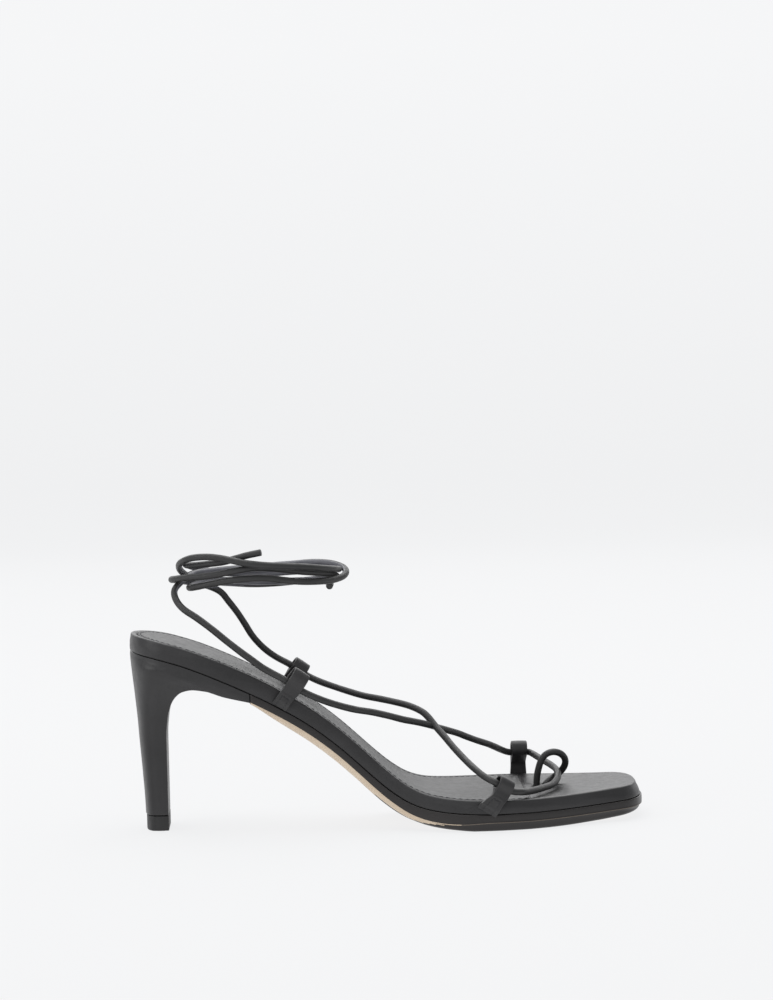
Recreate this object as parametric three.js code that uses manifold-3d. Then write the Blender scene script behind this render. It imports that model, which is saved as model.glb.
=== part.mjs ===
// Lace up heeled sandal, right foot. Millimetres, +Z up, +X towards the toe,
// +Y the inner (medial) side. The origin is the centre of the heel tip's floor face.
import * as THREE from 'three';
import Module from 'manifold-3d';
import { mergeVertices } from 'three/addons/utils/BufferGeometryUtils.js';

const wasm = await Module();
wasm.setup();

// ---- driving sizes ----
const GAP = 0.3;             // clearance between two pieces that meet
const BACK_X = -10;          // back of the footbed's edge
const HEEL_ROUND = 20;       // length of the rounded back end
const TOE_X = 213;           // front of the footbed's edge
const TOE_ROUND = 10;        // length of the rounded front end
const TOE_POWER = 2.6;       // how square the toe is
const TOE_SPREAD = 1.7;      // the wall's slope forward at the toe
const SIDE_SPREAD = 0.5;     // the wall's slope outward at the sides
const SOCK_X0 = -6.6;        // insole sock, back end
const SOCK_X1 = 163;         // insole sock, front edge
const SOCK_IN = 2.9;         // insole sock, in from the footbed's edge
const SOCK_T = 1.2;          // insole sock, thickness
const SOCK_DROP = 0.8;       // insole sock's edge, below the footbed's edge
const HEEL_FRONT = 42.4;     // front edge of the heel's seat
const TIP_H = 6.6;           // height of the heel's top piece
const CORD_R = 1.5;          // radius of the round lace
const LOOP_W = 6.8;          // width of a leather loop
const LOOP_T = 2.4;          // thickness of a loop's doubled strap
const LOOP_WALL = 1.15;      // thickness of one layer of a loop

// ---- the last: one row per section along the foot ----
// x; z of the footbed's edge; half its width; its middle line; the wall's height;
// the sole's full height; the height of the sole's edge face; the width of the rounded part
const LAST = [
  { x: -10, z: 87.4, half: 25.4, mid: 0.0, wall: 7.8, sole: 4.0, edge: 3.6, round: 5 },
  { x: 2, z: 84.9, half: 25.5, mid: 0.0, wall: 7.8, sole: 4.0, edge: 3.6, round: 5 },
  { x: 10, z: 82.7, half: 25.6, mid: -0.1, wall: 7.8, sole: 4.0, edge: 3.6, round: 5 },
  { x: 20, z: 79.3, half: 26.4, mid: -0.5, wall: 8.0, sole: 4.0, edge: 3.6, round: 5 },
  { x: 30, z: 75.2, half: 25.7, mid: -1.2, wall: 8.2, sole: 4.0, edge: 3.6, round: 5 },
  { x: 42, z: 69.7, half: 24.3, mid: -2.0, wall: 8.4, sole: 4.4, edge: 3.8, round: 6 },
  { x: 55, z: 62.7, half: 23.1, mid: -2.6, wall: 8.2, sole: 6.8, edge: 4.0, round: 8 },
  { x: 68, z: 54.5, half: 22.5, mid: -3.0, wall: 8.0, sole: 7.7, edge: 4.1, round: 9 },
  { x: 80, z: 45.4, half: 22.4, mid: -3.2, wall: 8.1, sole: 8.2, edge: 4.2, round: 10 },
  { x: 88, z: 38.3, half: 22.5, mid: -3.3, wall: 8.2, sole: 8.5, edge: 4.3, round: 10 },
  { x: 96, z: 30.8, half: 23.1, mid: -3.5, wall: 8.1, sole: 8.6, edge: 4.4, round: 9 },
  { x: 104, z: 23.8, half: 24.8, mid: -3.6, wall: 7.6, sole: 8.3, edge: 4.5, round: 7 },
  { x: 112, z: 18.4, half: 27.9, mid: -3.4, wall: 6.9, sole: 7.6, edge: 4.7, round: 5 },
  { x: 120, z: 15.5, half: 31.9, mid: -2.8, wall: 6.3, sole: 7.2, edge: 5.0, round: 3 },
  { x: 130, z: 14.1, half: 36.6, mid: -1.8, wall: 6.1, sole: 7.1, edge: 5.6, round: 1.8 },
  { x: 138, z: 13.6, half: 39.1, mid: -0.8, wall: 6.0, sole: 7.3, edge: 6.1, round: 1.5 },
  { x: 150, z: 13.3, half: 40.5, mid: 0.5, wall: 6.0, sole: 7.0, edge: 5.9, round: 1.5 },
  { x: 162, z: 13.3, half: 39.6, mid: 1.6, wall: 6.0, sole: 7.0, edge: 5.9, round: 1.5 },
  { x: 172, z: 13.4, half: 36.8, mid: 2.5, wall: 6.0, sole: 7.1, edge: 5.9, round: 1.5 },
  { x: 180, z: 13.6, half: 34.0, mid: 3.0, wall: 6.0, sole: 7.1, edge: 5.8, round: 1.5 },
  { x: 188, z: 13.9, half: 30.7, mid: 3.3, wall: 6.0, sole: 7.0, edge: 5.6, round: 1.6 },
  { x: 196, z: 14.3, half: 27.3, mid: 3.6, wall: 6.0, sole: 6.9, edge: 5.3, round: 1.8 },
  { x: 204, z: 14.8, half: 23.8, mid: 3.8, wall: 6.0, sole: 6.6, edge: 4.9, round: 2.0 },
  { x: 213, z: 15.4, half: 20.4, mid: 4.0, wall: 6.0, sole: 6.0, edge: 4.3, round: 2.2 },
];
const FLAT = { from: 138, to: 172 }; // the forefoot's flat spot on the floor

// ---- the heel: one row per section, from the tip up to the seat ----
// back point, front point, and the width as a share of the seat's
const HEEL = [
  { xb: -5.4, zb: 6.9, xf: 5.0, zf: 6.9, k: 0.44 },
  { xb: -5.6, zb: 13, xf: 5.0, zf: 13, k: 0.44 },
  { xb: -6.4, zb: 26, xf: 5.0, zf: 26, k: 0.445 },
  { xb: -7.4, zb: 40, xf: 5.0, zf: 40, k: 0.465 },
  { xb: -8.0, zb: 49.5, xf: 5.7, zf: 49, k: 0.52 },
  { xb: -8.6, zb: 56.5, xf: 7.2, zf: 55.3, k: 0.60 },
  { xb: -9.1, zb: 62, xf: 9.6, zf: 59.6, k: 0.70 },
  { xb: -9.6, zb: 67, xf: 13.0, zf: 62.2, k: 0.80 },
  { xb: -10.0, zb: 71, xf: 17.5, zf: 63.1, k: 0.88 },
  { xb: -10.3, zb: 74, xf: 23, zf: 62.5, k: 0.94 },
  { xb: -10.5, zb: 76.3, xf: 31, zf: 59.9, k: 0.98 },
  { xb: -10.6, zb: 77.9, xf: HEEL_FRONT, zf: 57.2, k: 1.0 },
];

// ---- the leather loops ----
// side (-1 outer, 1 inner); x and z where the strap meets the sole's seam; lean
// towards the toe in degrees; the slot's low and high end and the cord's place along
// the strap; how far the loop's top leans over the foot
const LOOPS = [
  { name: 'loop_forefoot_lateral', side: -1, x: 144.2, z: 8.0, lean: 31, lo: 11.3, hi: 16.2, cord: 13.2, over: 3.4 },
  { name: 'loop_forefoot_medial', side: 1, x: 163.9, z: 8.0, lean: 1, lo: 13.3, hi: 19.4, cord: 15.2, over: 3.6 },
  { name: 'loop_midfoot_lateral', side: -1, x: 54.8, z: 55.2, lean: 35.6, lo: 9.4, hi: 17.6, cord: 11.3, over: 2.0 },
  { name: 'loop_midfoot_medial', side: 1, x: 55.6, z: 54.8, lean: 35.6, lo: 12.0, hi: 17.4, cord: 13.9, over: 2.0 },
];
const SLOT_HALF = 2.1;       // half the slot's clear width
const RUN = 4.3;             // the cord runs straight this far each side of a loop's middle

// ---- the lace's route between the loops, a row per bend ----
const STRAND_A = [ // from the inner midfoot loop, over the instep, to the outer forefoot loop
  { x: 72.6, y: 20.2, z: 60.9 }, { x: 78.8, y: 18.4, z: 58.6 }, { x: 85.9, y: 16.8, z: 56.2 },
  { x: 93.1, y: 15.2, z: 54.1 }, { x: 100.2, y: 12.8, z: 52.8 }, { x: 107.2, y: 9.9, z: 51.4 },
  { x: 112.4, y: 7.3, z: 50.2 }, { x: 116.3, y: 4.6, z: 48.8 }, { x: 119.3, y: 2.2, z: 47.2 },
  { x: 121.8, y: -0.2, z: 44.6 }, { x: 124.2, y: -2.8, z: 41.5 }, { x: 127.5, y: -7.6, z: 37.9 },
  { x: 130.6, y: -12.8, z: 34.3 }, { x: 133.7, y: -18.6, z: 31.1 }, { x: 136.8, y: -25.0, z: 28.2 },
  { x: 140.0, y: -31.4, z: 25.7 }, { x: 143.2, y: -36.6, z: 23.5 },
];
const TOE_ARC = [ // from the outer forefoot loop, through the toe ring, to the inner one
  { x: 158.8, y: -36.8, z: 16.4 }, { x: 162.8, y: -31.0, z: 15.7 }, { x: 167.4, y: -23.0, z: 15.3 },
  { x: 171.7, y: -14.5, z: 15.0 }, { x: 175.0, y: -7.5, z: 14.9 }, { x: 177.6, y: -0.5, z: 15.8 },
  { x: 179.0, y: 6.3, z: 17.2 }, { x: 178.8, y: 12.4, z: 18.7 }, { x: 177.0, y: 18.6, z: 19.9 },
  { x: 174.6, y: 25.0, z: 20.9 }, { x: 172.2, y: 31.5, z: 21.9 }, { x: 170.4, y: 36.6, z: 22.6 },
];
const STRAND_B = [ // from the inner forefoot loop, under the crossing, to the outer midfoot loop
  { x: 156.6, y: 37.6, z: 24.6 }, { x: 153.4, y: 33.0, z: 26.6 }, { x: 149.2, y: 27.2, z: 29.1 },
  { x: 144.3, y: 21.2, z: 31.5 }, { x: 139.5, y: 15.6, z: 34.0 }, { x: 134.8, y: 10.8, z: 36.5 },
  { x: 130.0, y: 6.2, z: 38.6 }, { x: 124.4, y: 0.0, z: 41.1 }, { x: 119.8, y: -3.4, z: 42.9 },
  { x: 115.3, y: -6.6, z: 44.4 }, { x: 109.8, y: -10.0, z: 46.0 }, { x: 102.7, y: -14.0, z: 48.5 },
  { x: 95.6, y: -17.0, z: 50.6 }, { x: 88.5, y: -19.4, z: 52.2 }, { x: 81.5, y: -21.8, z: 54.4 },
  { x: 75.4, y: -23.9, z: 56.7 }, { x: 70.2, y: -25.4, z: 59.1 },
];
const RING = [ // the toe ring, a loop of the same cord set in the footbed
  { x: 169.6, y: 9.8, z: 13.4 }, { x: 169.9, y: 9.6, z: 16.8 }, { x: 170.8, y: 9.4, z: 20.6 },
  { x: 172.1, y: 9.3, z: 24.0 }, { x: 174.3, y: 9.4, z: 26.3 }, { x: 177.5, y: 9.7, z: 27.1 },
  { x: 180.7, y: 10.5, z: 26.1 }, { x: 182.8, y: 12.2, z: 23.4 }, { x: 182.8, y: 14.4, z: 20.1 },
  { x: 180.9, y: 15.6, z: 17.2 }, { x: 177.7, y: 13.2, z: 15.2 }, { x: 174.9, y: 10.0, z: 14.0 },
];
const RISER_A = [ // inner tie, from the midfoot loop up to the ankle
  { x: 54.4, y: 21.4, z: 71.8 }, { x: 50.4, y: 21.0, z: 74.7 }, { x: 46.9, y: 20.0, z: 78.1 },
  { x: 43.4, y: 19.0, z: 82.5 }, { x: 40.0, y: 18.0, z: 88.4 }, { x: 36.6, y: 16.8, z: 93.9 },
  { x: 33.1, y: 15.9, z: 98.7 }, { x: 30.2, y: 15.6, z: 102.5 },
];
const RISER_B = [ // outer tie, from the midfoot loop up to the ankle
  { x: 52.2, y: -26.1, z: 70.0 }, { x: 47.9, y: -25.8, z: 72.6 }, { x: 43.6, y: -25.3, z: 75.9 },
  { x: 40.2, y: -24.8, z: 78.4 }, { x: 33.4, y: -23.2, z: 83.7 }, { x: 26.5, y: -21.0, z: 89.4 },
  { x: 19.6, y: -18.0, z: 94.5 }, { x: 14.3, y: -14.6, z: 97.8 }, { x: 11.5, y: -11.6, z: 100.7 },
  { x: 10.0, y: -9.0, z: 104.1 }, { x: 10.1, y: -8.2, z: 105.8 },
];
const TIE_END = [ // the short end that stands above the wraps
  { x: 37.7, y: -13.0, z: 119.6 }, { x: 43.0, y: -14.0, z: 120.6 }, { x: 48.2, y: -15.0, z: 121.6 },
];
// ankle wraps as one oval band: middle, half lengths to the middle of the band,
// its thickness, its height and the height of its middle
const WRAP = { x: 47.4, y: 0, ax: 35.6, ay: 23.6, thick: 7.6, high: 11.6, z: 113.4 };

// ---- helpers ----
function row(table, key, x) { // smooth value of one column at x
  const n = table.length;
  if (x <= table[0].x) return table[0][key];
  if (x >= table[n - 1].x) return table[n - 1][key];
  let i = 0;
  while (x > table[i + 1].x) i++;
  const slope = (j) => {
    if (j === 0) return (table[1][key] - table[0][key]) / (table[1].x - table[0].x);
    if (j === n - 1) return (table[n - 1][key] - table[n - 2][key]) / (table[n - 1].x - table[n - 2].x);
    const a = (table[j][key] - table[j - 1][key]) / (table[j].x - table[j - 1].x);
    const b = (table[j + 1][key] - table[j][key]) / (table[j + 1].x - table[j].x);
    return a * b <= 0 ? 0 : 2 * a * b / (a + b);
  };
  const h = table[i + 1].x - table[i].x, t = (x - table[i].x) / h;
  const p0 = table[i][key], p1 = table[i + 1][key], m0 = slope(i) * h, m1 = slope(i + 1) * h;
  return (2 * t ** 3 - 3 * t ** 2 + 1) * p0 + (t ** 3 - 2 * t ** 2 + t) * m0
    + (-2 * t ** 3 + 3 * t ** 2) * p1 + (t ** 3 - t ** 2) * m1;
}
const clamp01 = (t) => Math.min(1, Math.max(0, t));
function endFactor(x) { // rounds both ends of the outline
  let f = 1;
  if (x < BACK_X + HEEL_ROUND) f *= Math.sqrt(Math.max(0, 1 - ((BACK_X + HEEL_ROUND - x) / HEEL_ROUND) ** 2));
  if (x > TOE_X - TOE_ROUND) f *= Math.max(0, 1 - ((x - TOE_X + TOE_ROUND) / TOE_ROUND) ** TOE_POWER) ** (1 / TOE_POWER);
  return f;
}
const half = (x) => row(LAST, 'half', x) * endFactor(x);
const mid = (x) => row(LAST, 'mid', x);
const edgeZ = (x) => row(LAST, 'z', x);
const wallZ = (x) => edgeZ(x) - row(LAST, 'wall', x);
function soleZ(x) {
  if (x >= FLAT.from && x <= FLAT.to) return 0;
  return Math.max(0, wallZ(x) - GAP - row(LAST, 'sole', x));
}
const spread = (x) => TOE_SPREAD * clamp01((x - 176) / 37) ** 2; // forward slope of the wall
function stations(x0, x1, backRound, frontRound, step, ends) { // section places, closer at the ends
  const xs = [];
  if (backRound > 0) for (let i = 0; i < ends; i++) xs.push(x0 + backRound * (1 - Math.cos((Math.PI / 2) * ((i + 0.35) / (ends + 0.35)))));
  const a = x0 + backRound, b = x1 - frontRound, n = Math.max(1, Math.round((b - a) / step));
  for (let i = 0; i <= n; i++) xs.push(a + (b - a) * i / n);
  if (frontRound > 0) for (let i = ends - 1; i >= 0; i--) xs.push(x1 - frontRound * (1 - Math.cos((Math.PI / 2) * ((i + 0.35) / (ends + 0.35)))));
  return xs;
}
function loft(rings) { // closed body through rings of equal point counts, ends capped with fans
  const n = rings[0].length, pos = [], idx = [];
  for (const r of rings) for (const p of r) pos.push(p[0], p[1], p[2]);
  for (let i = 0; i + 1 < rings.length; i++) for (let j = 0; j < n; j++) {
    const a = i * n + j, b = i * n + (j + 1) % n, c = a + n, d = b + n;
    idx.push(a, b, d, a, d, c);
  }
  const cap = (r, flip) => {
    const c = [0, 0, 0];
    for (const p of rings[r]) for (let k = 0; k < 3; k++) c[k] += p[k] / n;
    const ci = pos.length / 3;
    pos.push(...c);
    for (let j = 0; j < n; j++) {
      const a = r * n + j, b = r * n + (j + 1) % n;
      if (flip) idx.push(ci, b, a); else idx.push(ci, a, b);
    }
  };
  cap(0, true);
  cap(rings.length - 1, false);
  const g = new THREE.BufferGeometry();
  g.setAttribute('position', new THREE.Float32BufferAttribute(pos, 3));
  g.setIndex(idx);
  return outward(g);
}
function outward(g) { // turns the faces out where the body came inside out
  const p = g.attributes.position, ix = g.index.array;
  let v = 0;
  const A = new THREE.Vector3(), B = new THREE.Vector3(), C = new THREE.Vector3();
  for (let i = 0; i < ix.length; i += 3) {
    A.fromBufferAttribute(p, ix[i]); B.fromBufferAttribute(p, ix[i + 1]); C.fromBufferAttribute(p, ix[i + 2]);
    v += A.dot(B.cross(C));
  }
  if (v < 0) for (let i = 0; i < ix.length; i += 3) { const t = ix[i + 1]; ix[i + 1] = ix[i + 2]; ix[i + 2] = t; }
  return g;
}
function toSolid(g) {
  let m = g.clone();
  m.deleteAttribute('normal'); m.deleteAttribute('uv');
  m = mergeVertices(m, 1e-4);
  return new wasm.Manifold(new wasm.Mesh({
    numProp: 3,
    vertProperties: new Float32Array(m.attributes.position.array),
    triVerts: new Uint32Array(m.index.array),
  }));
}
function toGeometry(solid) {
  const m = solid.getMesh(), g = new THREE.BufferGeometry();
  g.setAttribute('position', new THREE.Float32BufferAttribute(m.vertProperties, 3));
  g.setIndex(new THREE.Uint32BufferAttribute(m.triVerts, 1));
  return g;
}
function tube(points, radius, sides, step) { // a cord along a route
  const curve = new THREE.CatmullRomCurve3(points.map((p) => new THREE.Vector3(p.x, p.y, p.z)), false, 'centripetal');
  const shape = new THREE.Shape();
  for (let i = 0; i < sides; i++) {
    const a = 2 * Math.PI * i / sides, x = radius * Math.cos(a), y = radius * Math.sin(a);
    if (i === 0) shape.moveTo(x, y); else shape.lineTo(x, y);
  }
  return new THREE.ExtrudeGeometry(shape, { steps: Math.max(2, Math.round(curve.getLength() / step)), bevelEnabled: false, extrudePath: curve });
}

// ---- platform: the wrapped midsole with its raised rim and the sock's recess ----
function platformRing(x, recess) {
  const h = half(x), m = mid(x), z = edgeZ(x), zb = wallZ(x), dx = spread(x);
  const share = h / row(LAST, 'half', x), s = SIDE_SPREAD;
  const floor = recess ? SOCK_DROP + SOCK_T + GAP : 0.7;
  const in1 = Math.min(0.5, 0.1 * h), in2 = Math.min(recess ? SOCK_IN - 0.5 : 3, 0.35 * h), in3 = Math.min(recess ? SOCK_IN - 0.3 : 8, 0.5 * h);
  const inner = Math.max(0.2 * h, h - in3 - 6), dish = 0.5 * share;
  return [
    [x + dx, m - h - s * share, zb], [x + dx * 0.4, m - h - s * share * 0.5, z - 1.4], [x, m - h + in1, z - 0.1], [x, m - h + in2, z - 0.35],
    [x, m - h + in3, z - floor], [x, m - inner, z - floor - dish * 0.6], [x, m, z - floor - dish], [x, m + inner, z - floor - dish * 0.6],
    [x, m + h - in3, z - floor], [x, m + h - in2, z - 0.35], [x, m + h - in1, z - 0.1], [x + dx * 0.4, m + h + s * share * 0.5, z - 1.4],
    [x + dx, m + h + s * share, zb], [x + dx, m, zb],
  ];
}
const sockRange = (x) => x > SOCK_X0 - 0.5 && x < SOCK_X1 + 0.35;
const FIXED = [SOCK_X0 - 0.6, SOCK_X0 - 0.3, HEEL_FRONT, HEEL_FRONT + 0.4, FLAT.from, SOCK_X1 + 0.3, SOCK_X1 + 0.6, FLAT.to];
const STATIONS = stations(BACK_X, TOE_X, HEEL_ROUND, TOE_ROUND, 7.5, 5)
  .filter((x) => FIXED.every((f) => Math.abs(x - f) > (f < 0 ? 0.7 : 2.6))).concat(FIXED).sort((a, b) => a - b);
const platform = loft(STATIONS.map((x) => platformRing(x, sockRange(x))));

// ---- insole sock: the thin stitched layer in the recess ----
function sockHalf(x) {
  const h = half(x) - SOCK_IN;
  return Math.max(2.5, Math.min(h, 24 * Math.sqrt(Math.max(0, 1 - ((SOCK_X0 + 18 - x) / 18.2) ** 2)) + (x > SOCK_X0 + 18 ? 99 : 0)));
}
function sockRing(x) {
  const h = sockHalf(x), m = mid(x), z = edgeZ(x) - SOCK_DROP, b = z - SOCK_T;
  const share = clamp01(h / 20), inner = Math.max(0.2 * h, h - 6), dish = 0.5 * half(x) / row(LAST, 'half', x);
  return [
    [x, m - h, b], [x, m - h, z - 0.2], [x, m - inner, z - dish * 0.6], [x, m, z - dish - 0.3 * share], [x, m + inner, z - dish * 0.6],
    [x, m + h, z - 0.2], [x, m + h, b], [x, m + inner, b - dish * 0.6 * 1.0], [x, m, b - dish], [x, m - inner, b - dish * 0.6],
  ];
}
const sock = loft([SOCK_X0].concat(STATIONS.filter((x) => x > SOCK_X0 + 0.6 && x < SOCK_X1), [SOCK_X1]).map(sockRing));

// ---- outsole ----
function soleRing(x) {
  const h = half(x), m = mid(x), zt = wallZ(x) - GAP, zb = soleZ(x), dx = spread(x);
  const share = h / row(LAST, 'half', x), w = h + SIDE_SPREAD * share + 0.35 * share;
  const e = Math.min(row(LAST, 'edge', x), (zt - zb) * 0.88), r = Math.min(row(LAST, 'round', x), 0.45 * h), d = zt - e - zb;
  const px = x + dx + 0.4 * clamp01((x - 200) / 13), bx = x + dx - 1.6 * clamp01((x - 204) / 9) ** 2;
  return [
    [px, m - w, zt], [px, m - w, zt - e], [(px + bx) / 2, m - w + 0.3 * r, zt - e - 0.62 * d], [bx, m - w + r, zb],
    [bx, m, zb], [bx, m + w - r, zb], [(px + bx) / 2, m + w - 0.3 * r, zt - e - 0.62 * d], [px, m + w, zt - e], [px, m + w, zt], [px, m, zt],
  ];
}
const outsole = loft(STATIONS.filter((x) => x > HEEL_FRONT + 0.1).map(soleRing));

// ---- heel ----
const HEEL_Q = STATIONS.filter((x) => x <= HEEL_FRONT + 0.01).map((x) => (x - BACK_X) / (HEEL_FRONT - BACK_X));
function heelRing(r, top) {
  const pts = [], lip = 0.35;
  const at = (q, s) => {
    const xt = BACK_X + q * (HEEL_FRONT - BACK_X), share = r.k;
    const w = (half(xt) + (SIDE_SPREAD + lip) * endFactor(xt)) * share, m = mid(xt) * share;
    const x = top ? xt - 0.4 * clamp01(1 - q / 0.3) : r.xb + q * (r.xf - r.xb);
    const z = top ? wallZ(xt) - GAP : r.zb + q * (r.zf - r.zb) + bow(r, q);
    return [x, m + s * w, z];
  };
  for (const q of HEEL_Q) pts.push(at(q, -1));
  pts.push([at(1, 0)[0], mid(HEEL_FRONT) * r.k, at(1, 0)[2]]);
  for (const q of [...HEEL_Q].reverse()) pts.push(at(q, 1));
  return pts;
}
function bow(r, q) { // the upper sections follow the seat's curve
  const seat = (t) => wallZ(BACK_X + t * (r.xf - BACK_X));
  const line = seat(0) + (seat(1) - seat(0)) * q;
  return (seat(q) - line) * clamp01((r.zb - 55) / 20);
}
const heelRings = HEEL.map((r) => heelRing(r, false));
heelRings.push(heelRing({ k: 1 }, true));
function heelLoft(rings) { // capped below with a fan, above with a strip that follows the seat
  const g = loft(rings), n = rings[0].length, last = rings.length - 1;
  const pos = Array.from(g.attributes.position.array), idx = Array.from(g.index.array);
  const kept = [];
  const centre = pos.length / 3 - 1;
  for (let i = 0; i < idx.length; i += 3) if (![idx[i], idx[i + 1], idx[i + 2]].includes(centre)) kept.push(idx[i], idx[i + 1], idx[i + 2]);
  pos.length -= 3;
  const L = HEEL_Q.length, b = last * n, tris = [];
  for (let i = 0; i + 1 < L; i++) {
    const a0 = b + i, a1 = b + i + 1, c0 = b + n - 1 - i, c1 = b + n - 2 - i;
    tris.push([a0, a1, c1], [a0, c1, c0]);
  }
  tris.push([b + L - 1, b + L, b + L + 1]);
  const want = new Set();
  for (let i = 0; i < kept.length; i += 3) for (let k = 0; k < 3; k++) want.add(kept[i + k] + '_' + kept[i + (k + 1) % 3]);
  const flip = want.has(tris[0][0] + '_' + tris[0][1]);
  for (const t of tris) kept.push(...(flip ? [t[0], t[2], t[1]] : t));
  const out = new THREE.BufferGeometry();
  out.setAttribute('position', new THREE.Float32BufferAttribute(pos, 3));
  out.setIndex(kept);
  return outward(out);
}
const heel = heelLoft(heelRings);

// ---- heel top piece: the small block that meets the floor ----
function tipShape() {
  const s = new THREE.Shape(), pts = [];
  for (const q of [0.004, 0.03, 0.09, 0.18, 0.3, 0.45, 0.97, 1.0]) {
    const xt = BACK_X + q * (HEEL_FRONT - BACK_X);
    pts.push([-5.0 + q * 10, (half(xt) * 0.44 - 0.2) * (q > 0.98 ? 0.94 : 1)]);
  }
  pts.forEach((p, i) => (i ? s.lineTo(p[0], -p[1]) : s.moveTo(p[0], -p[1])));
  [...pts].reverse().forEach((p) => s.lineTo(p[0], p[1]));
  return s;
}
const heelTopPiece = new THREE.ExtrudeGeometry(tipShape(), { depth: TIP_H, bevelEnabled: false });

// ---- leather loops: a doubled strap with a slot for the cord, and the fold on top ----
function loopShape(r) {
  const t = LOOP_T / 2, o = -r.over, c = (r.lo + r.hi) / 2, hh = (r.hi - r.lo) / 2, hw = SLOT_HALF, W = LOOP_WALL, N = 10;
  const s = new THREE.Shape(), knee = r.lo - 3.2;
  s.moveTo(0, 0);
  s.lineTo(0, knee);
  for (let i = 0; i <= N; i++) {
    const a = Math.PI * (1.14 - 1.28 * i / N);
    s.lineTo(t + o + (hw + W) * Math.cos(a), c + (hh + W) * Math.sin(a));
  }
  s.lineTo(LOOP_T, knee);
  s.lineTo(LOOP_T, 0);
  const hole = new THREE.Path();
  for (let i = 0; i < 14; i++) {
    const a = 2 * Math.PI * i / 14, x = t + o + hw * Math.cos(a), y = c + hh * Math.sin(a);
    if (i === 0) hole.moveTo(x, y); else hole.lineTo(x, y);
  }
  s.holes.push(hole);
  return s;
}
function loopFrame(r) { // where a loop stands: outward, up the strap, forward along the slot
  const lean = THREE.MathUtils.degToRad(r.lean);
  const out = new THREE.Vector3(0, r.side, 0);
  const up = new THREE.Vector3(Math.sin(lean), 0, Math.cos(lean));
  const fwd = new THREE.Vector3(Math.cos(lean), 0, -Math.sin(lean));
  const wall = Math.max(...[-4, 0, 4, 8].map((d) => half(r.x + d) + r.side * mid(r.x + d)));
  const foot = new THREE.Vector3(r.x, r.side * (wall + SIDE_SPREAD + 0.35 + GAP), r.z);
  return { out, up, fwd, foot };
}
function loopMesh(r) {
  const g = new THREE.ExtrudeGeometry(loopShape(r), { depth: LOOP_W, bevelEnabled: false });
  g.translate(0, 0, -LOOP_W / 2);
  const { out, up, foot } = loopFrame(r);
  const m = new THREE.Matrix4().makeBasis(out, up, new THREE.Vector3().crossVectors(out, up));
  m.setPosition(foot);
  g.applyMatrix4(m);
  return g;
}
function inSlot(name, d) { // the cord's middle in a loop's slot, d forward of the loop's middle
  const r = LOOPS.find((l) => l.name === name), f = loopFrame(r);
  return f.foot.clone().addScaledVector(f.up, r.cord).addScaledVector(f.out, LOOP_T / 2 - r.over).addScaledVector(f.fwd, d);
}
const slotRun = (name, from, to) => [from, (from + to) / 2, to].map((d) => inSlot(name, d));

// ---- lace: one cord through the loops, joined where it crosses itself ----
function laceSolid() {
  const outerFore = slotRun('loop_forefoot_lateral', -RUN, RUN);
  const front = slotRun('loop_forefoot_medial', RUN, -RUN);
  const first = toSolid(tube([...slotRun('loop_midfoot_medial', -RUN, RUN), ...STRAND_A, ...outerFore, ...TOE_ARC.slice(0, 7)], CORD_R, 8, 5.5));
  const second = toSolid(tube([...TOE_ARC.slice(4), ...front, ...STRAND_B, ...slotRun('loop_midfoot_lateral', RUN, -RUN)], CORD_R, 8, 5.5));
  return toGeometry(first.add(second));
}
const start = (name) => [inSlot(name, -RUN - GAP - 0.02), inSlot(name, -RUN - 1.6)];

// ---- ankle wraps ----
function wrapSolid() {
  const rings = [], N = 28, S = [[-1, 0.45], [-1, -0.45], [-0.5, -1], [0.5, -1], [1, -0.45], [1, 0.45], [0.5, 1], [-0.5, 1]];
  const pos = [], idx = [];
  for (let i = 0; i < N; i++) {
    const a = 2 * Math.PI * i / N, nx = Math.cos(a) / WRAP.ax, ny = Math.sin(a) / WRAP.ay, l = Math.hypot(nx, ny);
    rings.push(S.map(([r, h]) => [
      WRAP.x + WRAP.ax * Math.cos(a) + r * WRAP.thick / 2 * nx / l,
      WRAP.y + WRAP.ay * Math.sin(a) + r * WRAP.thick / 2 * ny / l,
      WRAP.z + h * WRAP.high / 2 - 0.9 * Math.sin(a),
    ]));
  }
  for (const r of rings) for (const p of r) pos.push(...p);
  for (let i = 0; i < N; i++) for (let j = 0; j < 8; j++) {
    const k = (i + 1) % N, a = i * 8 + j, b = i * 8 + (j + 1) % 8, c = k * 8 + j, d = k * 8 + (j + 1) % 8;
    idx.push(a, b, d, a, d, c);
  }
  const g = new THREE.BufferGeometry();
  g.setAttribute('position', new THREE.Float32BufferAttribute(pos, 3));
  g.setIndex(idx);
  return outward(g);
}

// ---- finishes ----
const leather = (color, roughness) => new THREE.MeshStandardMaterial({ color, roughness, metalness: 0 });
const BLACK = 0x2b2a2c, SOCK = 0x3a393a, CORD = 0x2a292b, EDGE = 0x2a2220, RUBBER = 0x202021;

const sandal = new THREE.Group();
function add(name, geometry, material) {
  const mesh = new THREE.Mesh(geometry, material);
  mesh.name = name;
  sandal.add(mesh);
}
add('outsole', outsole, leather(EDGE, 0.45));
add('platform', platform, leather(BLACK, 0.4));
add('insole_sock', sock, leather(SOCK, 0.42));
add('heel', heel, leather(BLACK, 0.4));
add('heel_top_piece', heelTopPiece, leather(RUBBER, 0.6));
for (const r of LOOPS) add(r.name, loopMesh(r), leather(BLACK, 0.45));
add('toe_ring', tube(RING, CORD_R, 8, 4), leather(CORD, 0.45));
add('lace_instep', laceSolid(), leather(CORD, 0.45));
add('tie_riser_lateral', tube([...start('loop_midfoot_lateral'), ...RISER_B], CORD_R, 8, 6), leather(CORD, 0.45));
add('tie_riser_medial', tube([...start('loop_midfoot_medial'), ...RISER_A], CORD_R, 8, 6), leather(CORD, 0.45));
add('ankle_wrap', wrapSolid(), leather(CORD, 0.45));
add('tie_end', tube(TIE_END, CORD_R, 8, 4), leather(CORD, 0.45));

export default sandal;
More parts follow.
